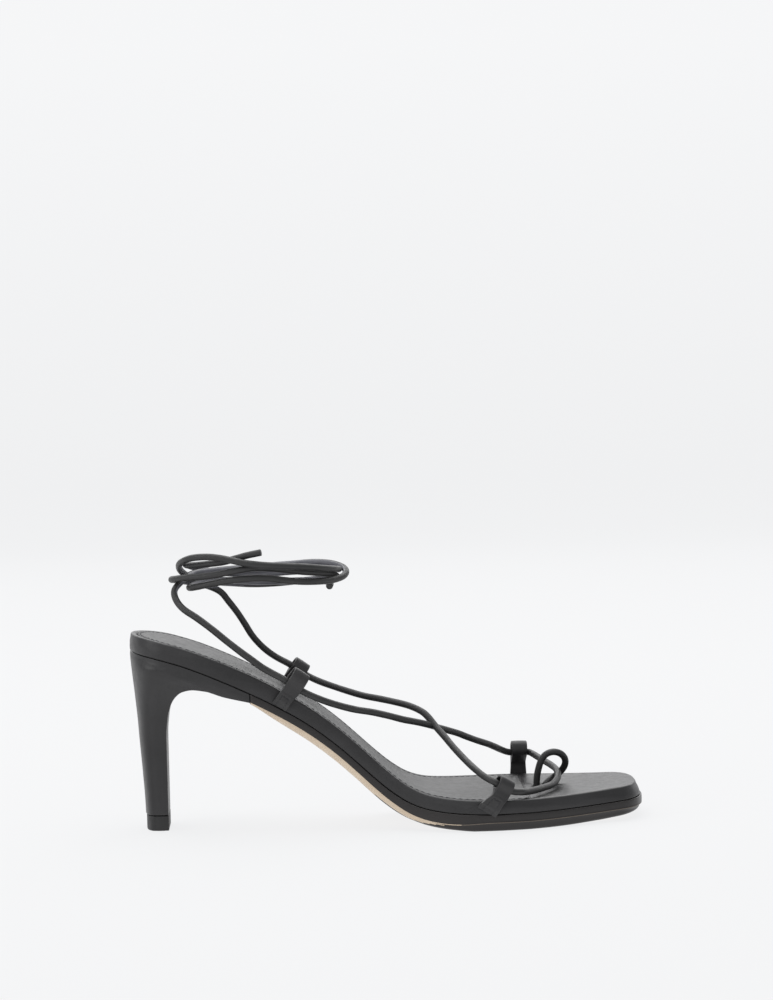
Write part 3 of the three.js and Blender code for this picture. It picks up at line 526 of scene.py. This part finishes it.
# ------------------------------------------------------------------ the footbed's outline
def outline():
    xs, fs = [], []
    for i in range(26):
        p = (math.pi / 2) * i / 26
        xs.append(BACK_X + HEEL_ROUND * (1 - math.cos(p)))
        fs.append(math.sin(p))
    n = int(round((TOE_X - TOE_ROUND - BACK_X - HEEL_ROUND) / 0.9))
    for i in range(n):
        xs.append(BACK_X + HEEL_ROUND + (TOE_X - TOE_ROUND - BACK_X - HEEL_ROUND) * i / n)
        fs.append(1.0)
    for i in range(31):
        p = (math.pi / 2) * i / 30
        xs.append(TOE_X - TOE_ROUND + TOE_ROUND * math.sin(p) ** (2 / TOE_POWER))
        fs.append(max(0.0, math.cos(p)) ** (2 / TOE_POWER))
    return np.array(xs), np.array(fs)


OX, OF = outline()
OH = col("half", OX) * OF
OM = col("mid", OX)
M = len(OX) - 1
BASE = np.r_[OX, OX[M - 1:0:-1]]
P = np.vstack([np.c_[OX, OM - OH], np.c_[OX, OM + OH][M - 1:0:-1]])
_T = np.roll(P, -1, 0) - np.roll(P, 1, 0)
_T /= np.linalg.norm(_T, axis=1)[:, None]
NRM = np.c_[_T[:, 1], -_T[:, 0]]
for _ in range(3):
    NRM = 0.25 * np.roll(NRM, 1, 0) + 0.5 * NRM + 0.25 * np.roll(NRM, -1, 0)
    NRM /= np.linalg.norm(NRM, axis=1)[:, None]
NP = len(P)
SIDE = np.where(np.arange(NP) <= M, -1.0, 1.0)


def spine(x0, x1, base=None):
    b = np.clip(BASE if base is None else base, x0, x1)
    return np.c_[b, col("mid", b)]


def at(d, h):
    """Ring of points: outward d from the edge, down h from the edge's height."""
    d, h = np.broadcast_to(d, NP), np.broadcast_to(h, NP)
    q = P + NRM * d[:, None]
    return np.c_[q, edge_z(np.clip(q[:, 0], BACK_X, TOE_X)) - h]


def puckers(q):
    """Small gathers in the leather round the toe ring's feet, and two soft pulls."""
    x, y = q[:, 0], q[:, 1]
    out = np.zeros(len(q))
    for cx, cy, amp, rad, k, ph in ((169.6, 9.8, 0.44, 8.0, 7, 0.4), (174.2, 9.2, 0.36, 7.0, 6, 1.9)):
        dx, dy = x - cx, y - cy
        r, th = np.hypot(dx, dy), np.arctan2(dy, dx)
        out += amp * np.exp(-(r / rad) ** 2) * np.sin(k * th + ph) * sstep(0.4, 2.2, r) - 0.4 * np.exp(-(r / 2.6) ** 2)
    return out


# ------------------------------------------------------------------ platform
def platform_piece():
    toe = sstep(162.7, 163.4, BASE)
    spread = 0.5 + 1.3 * np.clip((BASE - 176) / 37, 0, 1) ** 2
    wall = col("wall", BASE)
    rows, mats = [], []
    sp = spine(BACK_X + 22, TOE_X - 16)
    rows.append(np.c_[sp, edge_z(sp[:, 0]) - col("wall", sp[:, 0])])
    for t in (0.35, 0.7, 0.9):
        q = sp + (P - sp) * t
        rows.append(np.c_[q, edge_z(np.clip(q[:, 0], BACK_X, TOE_X)) - col("wall", q[:, 0])])
    rows.append(at(spread - 0.5, wall))
    rows.append(at(spread - 0.22, wall - 0.04))
    rows.append(at(spread, wall - 0.35))
    for t in np.linspace(0.08, 1, 16):
        h = (wall - 0.35) * (1 - t) + 1.25 * t
        d = spread * (1 - t) + 0.06 * t + 0.22 * math.sin(math.pi * t)
        r = at(d, h)
        # soft hand-made pulls in the wrapped leather of the wall
        x, y = r[:, 0], r[:, 1]
        u = wave(x, y, r[:, 2], 5, 26) * 0.07 + wave(x, y, r[:, 2] * 2, 6, 9) * 0.035
        near = (SIDE < 0)
        drop = (wall - h) / wall
        u = u - 0.30 * near * np.exp(-((x - (136.5 + 4 * drop)) / 1.5) ** 2) * np.exp(-((drop - 0.25) / 0.3) ** 2)
        u = u + 0.22 * near * np.exp(-((x - (133.6 + 5 * drop)) / 1.6) ** 2) * np.exp(-((drop - 0.25) / 0.3) ** 2)
        u = u * math.sin(math.pi * min(1, t * 1.0)) ** 0.5
        r[:, :2] += NRM * u[:, None]
        rows.append(r)
    for d, h in ((0.0, 0.9), (-0.12, 0.55), (-0.36, 0.26), (-0.72, 0.07), (-1.1, 0.0), (-1.5, 0.03), (-1.9, 0.14)):
        rows.append(at(d, h + 0 * toe))
    for d, h, ht in ((-2.25, 0.34, 0.20), (-2.5, 0.62, 0.25), (-2.7, 1.1, 0.28), (-2.9, 1.5, 0.31), (-3.2, 2.0, 0.35)):
        rows.append(at(d, h * (1 - toe) + ht * toe))
    a = at(-3.2, 0)[:, :2]
    K = 40
    for k in range(1, K + 1):
        t = k / K
        q = a + (sp - a) * t
        d = np.linalg.norm(q - a, axis=1)
        ht = 0.35 + 0.35 * sstep(0, 6, d) + 0.45 * sstep(2, 22, d)
        toe_q = sstep(162.7, 163.4, q[:, 0])
        z = edge_z(np.clip(q[:, 0], BACK_X, TOE_X)) - (2.4 * (1 - toe_q) + ht * toe_q)
        z = z + toe_q * (puckers(q) + wave(q[:, 0], q[:, 1], 0, 8, 18) * 0.05) * (1 - 0.0)
        rows.append(np.c_[q, z])
    v = np.vstack(rows)
    return build("wrapped_platform", v, grid_faces(len(rows), NP), [BLACK])


platform = platform_piece()
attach(platform, "root")
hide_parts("platform")


# ------------------------------------------------------------------ insole sock
def sock_outline():
    q = P - NRM * 2.95
    keep_near = [i for i in range(M + 1) if q[i, 0] < SOCK_X1 - 0.3]
    near = q[keep_near]
    far_idx = [j for j in range(NP - 1, M, -1) if q[j, 0] < SOCK_X1 - 0.3]
    far = q[far_idx]
    yn = np.interp(SOCK_X1, q[:M + 1, 0], q[:M + 1, 1])
    js = np.arange(M, NP)
    order = np.argsort(q[js, 0])
    yf = np.interp(SOCK_X1, q[js, 0][order], q[js, 1][order])
    ts = np.linspace(0, 1, 74)
    front = np.c_[SOCK_X1 + 0.9 * np.sin(ts * math.pi) * 0, yn + (yf - yn) * ts]
    loop = np.vstack([near, front, far[::-1]])
    base = np.r_[BASE[keep_near], np.full(len(ts), SOCK_X1), BASE[far_idx][::-1]]
    return loop, base


def sock_height(x, d, t):
    """How far the sock's top lies under the footbed's edge: d is the way in from its own edge."""
    edge = 0.75 * np.exp(-(d / 0.34) ** 2)
    stitch = 0.16 * np.exp(-((d - 1.25) / 0.42) ** 2)
    return 0.04 + edge + stitch + 0.5 * sstep(1.5, 9, d) + 0.55 * sstep(4, 24, d) * sstep(-12, 20, x)


def sock_piece():
    loop, base = sock_outline()
    n = len(loop)
    sp = spine(BACK_X + 22, SOCK_X1 - 12, base)
    rows = []
    c = loop.copy()
    rows.append(np.c_[sp, edge_z(sp[:, 0]) - 2.2])
    rows.append(np.c_[sp + (c - sp) * 0.6, edge_z((sp + (c - sp) * 0.6)[:, 0]) - 2.2])
    rows.append(np.c_[c, edge_z(c[:, 0]) - 2.0])
    direction = sp - c
    dist = np.linalg.norm(direction, axis=1)
    direction = direction / np.maximum(dist, 1e-6)[:, None]
    steps = [0.0, 0.12, 0.28, 0.5, 0.75, 1.0, 1.2, 1.4, 1.65, 2.0, 2.5]
    for s in steps:
        q = c + direction * s
        z = edge_z(np.clip(q[:, 0], BACK_X, TOE_X)) - sock_height(q[:, 0], s, 0) - (0.25 if s == 0 else 0)
        rows.append(np.c_[q, z])
    K = 34
    for k in range(1, K + 1):
        t = k / K
        q0 = c + direction * 2.5
        q = q0 + (sp - q0) * t
        d = 2.5 + np.linalg.norm(q - q0, axis=1)
        z = edge_z(np.clip(q[:, 0], BACK_X, TOE_X)) - sock_height(q[:, 0], d, t)
        z = z + wave(q[:, 0], q[:, 1], 0, 12, 30) * 0.06 + puckers(q) * 0.8
        rows.append(np.c_[q, z])
    v = np.vstack(rows)
    return build("insole_cover", v, grid_faces(len(rows), n), [SOCK_SKIN]), loop, base


sock, sock_loop, sock_base = sock_piece()
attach(sock, "root")
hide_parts("insole_sock")


# ------------------------------------------------------------------ stitches
def stitch_mesh(name, places, mat, radius=0.17, long=1.9, sides=6):
    """One joined mesh of short capsules: places holds (middle, along, up) for each."""
    verts, faces = [], []
    ang = np.linspace(0, 2 * math.pi, sides, endpoint=False)
    stations = [(-0.5, 0.0), (-0.46, 0.62), (-0.34, 0.95), (0.0, 1.0), (0.34, 0.95), (0.46, 0.62), (0.5, 0.0)]
    for c, t, u in places:
        t = t / np.linalg.norm(t)
        u = u - t * (u @ t)
        u = u / np.linalg.norm(u)
        w = np.cross(t, u)
        base = len(verts)
        rows = []
        for s, r in stations:
            p = c + t * s * long - u * (abs(s) * 2) ** 3 * 0.22
            if r == 0:
                rows.append([len(verts)])
                verts.append(p)
            else:
                rows.append(list(range(len(verts), len(verts) + sides)))
                for a in ang:
                    verts.append(p + (u * math.sin(a) + w * math.cos(a) * 1.15) * radius * r)
        for a, b in zip(rows[:-1], rows[1:]):
            for j in range(sides):
                k = (j + 1) % sides
                if len(a) == 1:
                    faces.append((a[0], b[j], b[k]))
                elif len(b) == 1:
                    faces.append((a[j], b[0], a[k]))
                else:
                    faces.append((a[j], b[j], b[k], a[k]))
    return build(name, np.array(verts), faces, [mat], weld=0)


def along(path, pitch, start=0.0, stop=None):
    s = np.r_[0, np.cumsum(np.linalg.norm(np.diff(path, axis=0), axis=1))]
    t = np.arange(start, (s[-1] if stop is None else stop), pitch)
    p = np.stack([np.interp(t, s, path[:, c]) for c in range(3)], 1)
    q = np.stack([np.interp(np.minimum(t + 0.3, s[-1]), s, path[:, c]) for c in range(3)], 1)
    r = np.stack([np.interp(np.maximum(t - 0.3, 0), s, path[:, c]) for c in range(3)], 1)
    return p, q - r


def sock_stitches():
    n = len(sock_loop)
    sp = spine(BACK_X + 22, SOCK_X1 - 12, sock_base)
    d = sp - sock_loop
    d /= np.maximum(np.linalg.norm(d, axis=1), 1e-6)[:, None]
    q = sock_loop + d * 1.25
    keep = sock_loop[:, 0] < SOCK_X1 - 0.25
    path = np.c_[q, edge_z(np.clip(q[:, 0], BACK_X, TOE_X)) - sock_height(q[:, 0], 1.25, 0) + 0.10]
    k = np.where(~keep)[0]
    cut = k[-1] + 1
    path = np.vstack([path[cut:], path[:k[0]]])
    p, t = along(path, 2.9, 1.5)
    return stitch_mesh("sock_stitches", [(a, b, np.array([0, 0, 1.0])) for a, b in zip(p, t)], THREAD, 0.27, 2.15)


st = sock_stitches()
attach(st, "root")


# ------------------------------------------------------------------ outsole
def outsole_piece():
    near = [i for i in range(M + 1) if OX[i] > HEEL_FRONT - 0.62]
    i0 = near[0]
    idx = np.arange(i0, NP - i0 + 1)
    base = BASE[idx]
    p, nr = P[idx], NRM[idx]
    n = len(idx)
    s = sstep(116, 150, base)
    zt = wall_z(base) - GAP * 0.4
    zb = sole_z(base)
    e = np.minimum(col("edge", base), (zt - zb) * 0.88)
    r = np.minimum(col("round", base), 0.45 * np.maximum(col("half", base) * end_factor(base), 2.0))
    lip = 0.9 + 1.3 * np.clip((base - 176) / 37, 0, 1) ** 2 + 0.35 * np.clip((base - 200) / 13, 0, 1)
    la = (e - 0.35) * (1 - s) + 3.25 * s
    lb = e * (1 - s) + 3.5 * s
    sp = np.c_[np.clip(base, 0, TOE_X - 16), col("mid", np.clip(base, 0, TOE_X - 16))]

    def ring(d, z):
        q = p + nr * np.broadcast_to(d, n)[:, None]
        return np.c_[q, z]

    rows, kinds = [], []
    rows.append(np.c_[sp, wall_z(sp[:, 0]) - GAP * 0.4])
    rows.append(ring(lip - 0.7, zt)); kinds.append(0)
    rows.append(ring(lip - 0.18, zt)); kinds.append(0)
    rows.append(ring(lip - 0.03, zt - 0.16)); kinds.append(0)
    rows.append(ring(lip, zt - 0.4)); kinds.append(0)
    for t in (0.35, 0.7):
        rows.append(ring(lip + 0.05, zt - 0.4 - (la - 0.4) * t)); kinds.append(0)
    rows.append(ring(lip - 0.02, zt - la)); kinds.append(0)
    rows.append(ring(lip - 0.02 + 0.05 * s, zt - la - 0.06)); kinds.append(1)
    rows.append(ring(lip - 0.04 + 0.03 * s, zt - lb)); kinds.append(1)
    for t in (0.08, 0.55, 1.0):
        rows.append(ring(lip - 0.04 - s * (0.12 + 0.85 * t ** 1.4), zt - lb - (e - lb) * t)); kinds.append(2)
    top = lip - 0.04 - s * 0.97
    D = zt - e - zb
    for k in range(1, 11):
        a = (math.pi / 2) * k / 10
        rows.append(ring(top - r * (1 - math.cos(a)), zt - e - D * math.sin(a))); kinds.append(3)
    inner = rows[-1]
    for k in range(1, 17):
        t = min(1.0, 0.055 * k if k <= 2 else 0.11 + (k - 2) / 14 * 0.89)
        q = inner[:, :2] + (sp - inner[:, :2]) * t
        z = sole_z(np.clip(q[:, 0], BACK_X, TOE_X))
        z = np.where(np.abs(q[:, 0] - inner[:, 0]) < 1e-6, inner[:, 2], z)
        rows.append(np.c_[q, np.maximum(z, 0.0)]); kinds.append(3 if k <= 1 else 4)
    v = np.vstack(rows)
    faces, index = [], []
    xs = base
    for i in range(len(rows) - 1):
        kd = kinds[i]
        for j in range(n - 1):
            a, b = i * n + j, i * n + j + 1
            faces.append((a, b, b + n, a + n))
            x = 0.5 * (xs[j] + xs[j + 1])
            if kd == 0:
                m = 0
            elif kd == 1:
                m = 1 if x < 133 else 2
            elif kd == 2:
                m = 0
            elif kd == 3:
                k = i - kinds.index(3)
                m = 1 if x < 125 - 3.0 * k else 0
            else:
                m = 1
            index.append(m)
    # the flat end against the heel
    m = len(rows)
    left = [i * n for i in range(m)]
    right = [i * n + n - 1 for i in range(m)]
    for i in range(m - 1):
        faces.append((left[i], left[i + 1], right[i + 1], right[i]))
        index.append(0)
    return build("sole", v, faces, [EDGE, NUDE, LINE], index)


outsole = outsole_piece()
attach(outsole, "root")
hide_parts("outsole")


# ------------------------------------------------------------------ heel
HQ = np.r_[0.0, np.cumsum(np.r_[np.full(6, 0.3), np.full(8, 0.7), np.full(16, 1.6), np.full(14, 1.6)])]
HQ = 0.985 * HQ / HQ[-1]


def heel_row(v):
    i = np.arange(len(HEEL), dtype=float)
    return [float(hermite(i, HEEL[:, c], v)) for c in range(5)]


def seat_z(x):
    return wall_z(x) - GAP


def heel_ring(xb, zb, xf, zf, k, top=False, grow=0.0):
    qs = np.r_[HQ, 0.993, 0.998, 1.0]
    drop = np.r_[np.zeros(len(HQ)), 0.12, 0.4, 0.85]
    xt = BACK_X + qs * (HEEL_FRONT - BACK_X)
    w = (half(xt) + (SIDE_SPREAD + 0.35) * end_factor(xt)) * k - drop * min(1.0, 0.4 + 0.6 * k) + grow * end_factor(xt)
    w = np.maximum(w, 0)
    mid = col("mid", xt) * k
    if top:
        x = xt - 0.4 * np.clip(1 - qs / 0.3, 0, 1)
        z = seat_z(xt)
    else:
        x = xb + qs * (xf - xb)
        line0, line1 = seat_z(BACK_X), seat_z(xf)
        bow = (seat_z(BACK_X + qs * (xf - BACK_X)) - (line0 + (line1 - line0) * qs)) * min(1, max(0, (zb - 55) / 20))
        z = zb + qs * (zf - zb) + bow
    near = np.c_[x, mid - w, z]
    far = np.c_[x, mid + w, z]
    mids = []
    for t in np.linspace(0, 1, 9)[1:-1]:
        mids.append(near[-1] + (far[-1] - near[-1]) * t)
    return np.vstack([near, mids, far[::-1][:-1]])


def heel_piece():
    rings = []
    for v in np.linspace(0, 11, 110):
        rings.append(heel_ring(*heel_row(v)))
    rings[0][:, 2] += 0.0
    tip = rings[0].copy()
    c = tip.mean(0)
    rings.insert(0, c + (tip - c) * np.array([0.96, 0.975, 1.0]) + np.array([0, 0, -0.02]))
    rings[1][:, 2] += 0.12
    top = heel_ring(0, 0, 0, 0, 1.0, top=True)
    last = rings[-1]
    for t in (0.4, 0.75, 0.93):
        rings.append(last + (top - last) * t)
    topc = top.copy()
    topc[:, 2] += 0.0
    rings.append(topc)
    n = len(rings[0])
    v = np.vstack(rings)
    faces = grid_faces(len(rings), n)
    nq = len(HQ) + 3
    nm = 7
    # caps: strips that join the near side to the far side
    for b in (0, (len(rings) - 1) * n):
        near = [b + i for i in range(nq)]
        far = [b] + [b + n - i for i in range(1, nq)]
        for i in range(nq - 1):
            if i == 0:
                faces.append((near[0], near[1], far[1]))
            else:
                faces.append((near[i], near[i + 1], far[i + 1], far[i]))
        faces.append(tuple([near[-1]] + [b + nq + i for i in range(nm)] + [far[-1]]))
    return build("heel_cover", v, faces, [HEEL_SKIN], weld=0.004)


heel = heel_piece()
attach(heel, "root")
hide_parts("heel")


def tip_piece():
    base = heel_ring(*heel_row(0.0))
    c = np.array([0, base[:, 1].mean(), 0])
    rings = []
    for z, s in ((0.0, 0.955), (0.0, 0.972), (0.14, 0.985), (0.4, 0.99), (3.0, 0.99), (6.2, 0.99), (6.45, 0.985), (6.55, 0.96)):
        r = base.copy()
        r[:, 0] = (base[:, 0] + 0.2) * s * 0.98
        r[:, 1] = c[1] + (base[:, 1] - c[1]) * s
        r[:, 2] = z
        rings.append(r)
    n = len(base)
    v = np.vstack(rings)
    faces = grid_faces(len(rings), n)
    nq, nm = len(HQ) + 3, 7
    for b in (0, (len(rings) - 1) * n):
        near = [b + i for i in range(nq)]
        far = [b] + [b + n - i for i in range(1, nq)]
        for i in range(nq - 1):
            if i == 0:
                faces.append((near[0], near[1], far[1]))
            else:
                faces.append((near[i], near[i + 1], far[i + 1], far[i]))
        faces.append(tuple([near[-1]] + [b + nq + i for i in range(nm)] + [far[-1]]))
    return build("heel_tip", v, faces, [RUBBER], weld=0.004)


tip = tip_piece()
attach(tip, "root")
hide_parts("heel_top_piece")


# ------------------------------------------------------------------ loops
def loop_piece(name):
    r = LOOPS[name]
    t, o, c, hh = LOOP_T / 2, -r["over"], (r["lo"] + r["hi"]) / 2, (r["hi"] - r["lo"]) / 2
    hw, W, knee = SLOT_HALF, LOOP_WALL, r["lo"] - 3.2
    pts = [(0.0, 0.0), (0.0, knee)]
    for i in range(41):
        a = math.pi * (1.14 - 1.28 * i / 40)
        pts.append((t + o + (hw + W) * math.cos(a), c + (hh + W) * math.sin(a)))
    pts += [(LOOP_T, knee), (LOOP_T, 0.0)]
    # even, softened outline
    q = np.array([(a, b, 0.0) for a, b in pts])
    q = resample(q, 0.28)[:, :2]
    sm = q.copy()
    for _ in range(14):
        sm[1:-1] = 0.25 * sm[:-2] + 0.5 * sm[1:-1] + 0.25 * sm[2:]
    q = sm
    bottom = np.c_[np.linspace(LOOP_T, 0, 8)[1:-1], np.zeros(6)]
    out = np.vstack([q, bottom])
    n = len(out)
    ang = np.linspace(0, 2 * math.pi, 48, endpoint=False)
    hole = np.c_[t + o + hw * np.cos(ang), c + hh * np.sin(ang)]
    m = len(hole)

    def normals(loop, flip):
        tt = np.roll(loop, -1, 0) - np.roll(loop, 1, 0)
        tt /= np.maximum(np.linalg.norm(tt, axis=1), 1e-9)[:, None]
        nn = np.c_[tt[:, 1], -tt[:, 0]]
        area = 0.5 * np.sum(loop[:, 0] * np.roll(loop[:, 1], -1) - np.roll(loop[:, 0], -1) * loop[:, 1])
        if area < 0:
            nn = -nn
        return -nn if flip else nn

    no, nh = normals(out, False), normals(hole, True)
    e = 0.26
    H = LOOP_W / 2
    across = [(-H, e), (-H + 0.08, e * 0.45), (-H + e, 0.0)] + [(w, 0.0) for w in np.linspace(-H + e, H - e, 27)[1:-1]] + [(H - e, 0.0), (H - 0.08, e * 0.45), (H, e)]
    verts = []
    for w, ins in across:
        a = out - no * ins
        a[:, 1] = np.maximum(a[:, 1], 0.0)
        crown = 0.10 * math.cos(math.pi * w / LOOP_W)
        a = a + no * crown * sstep(0.5, 2.5, a[:, 1])[:, None]
        press = np.zeros(n)
        if ins == 0.0 and not ("medial" in name and "fore" in name):
            sides = np.exp(-((abs(w) - (LOOP_W / 2 - 1.7)) / 0.34) ** 2) * (1 - sstep(knee - 0.9, knee - 0.3, a[:, 1]))
            bar = np.exp(-((a[:, 1] - (knee - 0.8)) / 0.34) ** 2) * (1 if abs(w) < LOOP_W / 2 - 1.6 else 0)
            press = 0.26 * np.maximum(sides, bar) * (a[:, 0] > LOOP_T * 0.6)
            fold = np.exp(-((a[:, 1] - (knee + 1.0)) / 0.5) ** 2) * (a[:, 0] > LOOP_T * 0.6)
            press = press + 0.10 * fold
        a = a - no * press[:, None]
        verts.append(loop_place(r, a[:, 0], a[:, 1], np.full(n, w)))
    for w, ins in across:
        a = hole - nh * ins
        verts.append(loop_place(r, a[:, 0], a[:, 1], np.full(m, w)))
    v = np.vstack(verts)
    K = len(across)
    faces = grid_faces(K, n)
    off = K * n
    faces += [tuple(off + i for i in f) for f in grid_faces(K, m)]
    for k, sgn in ((0, 1), (K - 1, -1)):
        w, ins = across[k]
        a = [Vector((*(p), 0)) for p in (out - no * ins)]
        b = [Vector((*(p), 0)) for p in (hole - nh * ins)]
        tri = tessellate_polygon([a, b])
        ids = [k * n + i for i in range(n)] + [off + k * m + i for i in range(m)]
        for f in tri:
            faces.append(tuple(ids[i] for i in (f if sgn > 0 else f[::-1])))
    ob = build(name.replace("loop_", "strap_"), v, faces, [STRAP], weld=0.003, sharp=50)
    # stitched box near the strap's foot, on its outer face
    places = []
    rows = []
    side_out = np.array([0, r["side"], 0.0])
    if "medial" in name and "fore" in name:
        return ob, None
    y1 = knee - 0.8
    x1 = LOOP_W / 2 - 1.7
    line = [(-x1, 0.4), (-x1, y1), (x1, y1), (x1, 0.4)]
    path = []
    for (wa, ba), (wb, bb) in zip(line[:-1], line[1:]):
        for s in np.linspace(0, 1, 12, endpoint=False):
            path.append((wa + (wb - wa) * s, ba + (bb - ba) * s))
    path.append(line[-1])
    path = np.array(path)
    face = np.full(len(path), LOOP_T) - 0.10
    pts = loop_place(r, face, path[:, 1], path[:, 0])
    p, tt = along(pts, 1.5, 0.6)
    places = [(a, b, side_out) for a, b in zip(p, tt)]
    stb = stitch_mesh(name.replace("loop_", "stitch_"), places, THREAD2, 0.14, 1.15)
    return ob, stb


for nm in LOOPS:
    ob, stb = loop_piece(nm)
    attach(ob, "root")
    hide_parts(nm)
    if stb is not None:
        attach(stb, "root")


# ------------------------------------------------------------------ floor and lights
def stage():
    ys = [-3.0, -1.2, -0.4, 0.0, 0.5, 1.2, 1.8]
    prof = [(y, 0.0) for y in ys]
    R = 0.9
    for i in range(1, 13):
        a = (math.pi / 2) * i / 12
        prof.append((1.8 + R * math.sin(a), R * (1 - math.cos(a))))
    prof.append((2.7, 3.2))
    v = []
    for x in (-4.0, 4.0):
        for y, z in prof:
            v.append((x, y, z - 0.00002))
    n = len(prof)
    f = [(i, i + n, i + n + 1, i + 1) for i in range(n - 1)]
    me = bpy.data.meshes.new("floor")
    me.from_pydata(v, [], f)
    me.shade_smooth()
    m = bpy.data.materials.new("pale_floor")
    m.use_nodes = True
    nt = m.node_tree
    nt.nodes.clear()
    out = nt.nodes.new("ShaderNodeOutputMaterial")
    add = nt.nodes.new("ShaderNodeAddShader")
    d = nt.nodes.new("ShaderNodeBsdfDiffuse")
    d.inputs["Color"].default_value = (0.09, 0.09, 0.09, 1)
    e = nt.nodes.new("ShaderNodeEmission")
    e.inputs["Color"].default_value = (0.985, 0.99, 1.0, 1)
    e.inputs["Strength"].default_value = FLOOR_GLOW
    tc = nt.nodes.new("ShaderNodeTexCoord")
    sx = nt.nodes.new("ShaderNodeSeparateXYZ")
    mr = nt.nodes.new("ShaderNodeMapRange")
    mr.inputs["From Min"].default_value = 0.0
    mr.inputs["From Max"].default_value = 0.6
    mr.inputs["To Min"].default_value = FLOOR_GLOW
    mr.inputs["To Max"].default_value = FLOOR_GLOW + 0.062
    nt.links.new(tc.outputs["Object"], sx.inputs[0])
    nt.links.new(sx.outputs["Z"], mr.inputs["Value"])
    nt.links.new(mr.outputs[0], e.inputs["Strength"])
    nt.links.new(d.outputs[0], add.inputs[0])
    nt.links.new(e.outputs[0], add.inputs[1])
    nt.links.new(add.outputs[0], out.inputs[0])
    me.materials.append(m)
    ob = bpy.data.objects.new("floor", me)
    scene.collection.objects.link(ob)


def area(name, loc, target, size, power, color=(1, 1, 1)):
    li = bpy.data.lights.new(name, "AREA")
    li.shape = "RECTANGLE"
    li.size, li.size_y = size
    li.energy = power
    li.color = color
    ob = bpy.data.objects.new(name, li)
    ob.location = loc
    d = Vector(target) - Vector(loc)
    ob.rotation_euler = d.to_track_quat("-Z", "Y").to_euler()
    scene.collection.objects.link(ob)
    return ob


FLOOR_GLOW = 0.812
stage()
area("top_softbox", (0.1, 0.25, 1.25), (0.1, 0.0, 0.0), (1.6, 1.2), 14)
area("back_softbox", (0.1, 1.5, 1.0), (0.1, 0.0, 0.05), (2.2, 0.9), 10)
area("left_softbox", (-1.3, -0.5, 0.7), (0.08, 0.0, 0.05), (0.8, 1.0), 5)
area("front_fill", (-0.5, -1.9, 1.0), (0.1, 0.0, 0.04), (1.4, 0.9), 4)
world = bpy.data.worlds.new("world")
scene.world = world
world.use_nodes = True
bg = world.node_tree.nodes["Background"]
bg.inputs["Color"].default_value = (0.97, 0.985, 1.0, 1)
bg.inputs["Strength"].default_value = 0.46
scene.view_settings.view_transform = "Standard"
scene.view_settings.look = "None"
scene.view_settings.exposure = 0.0
scene.view_settings.gamma = 1.0
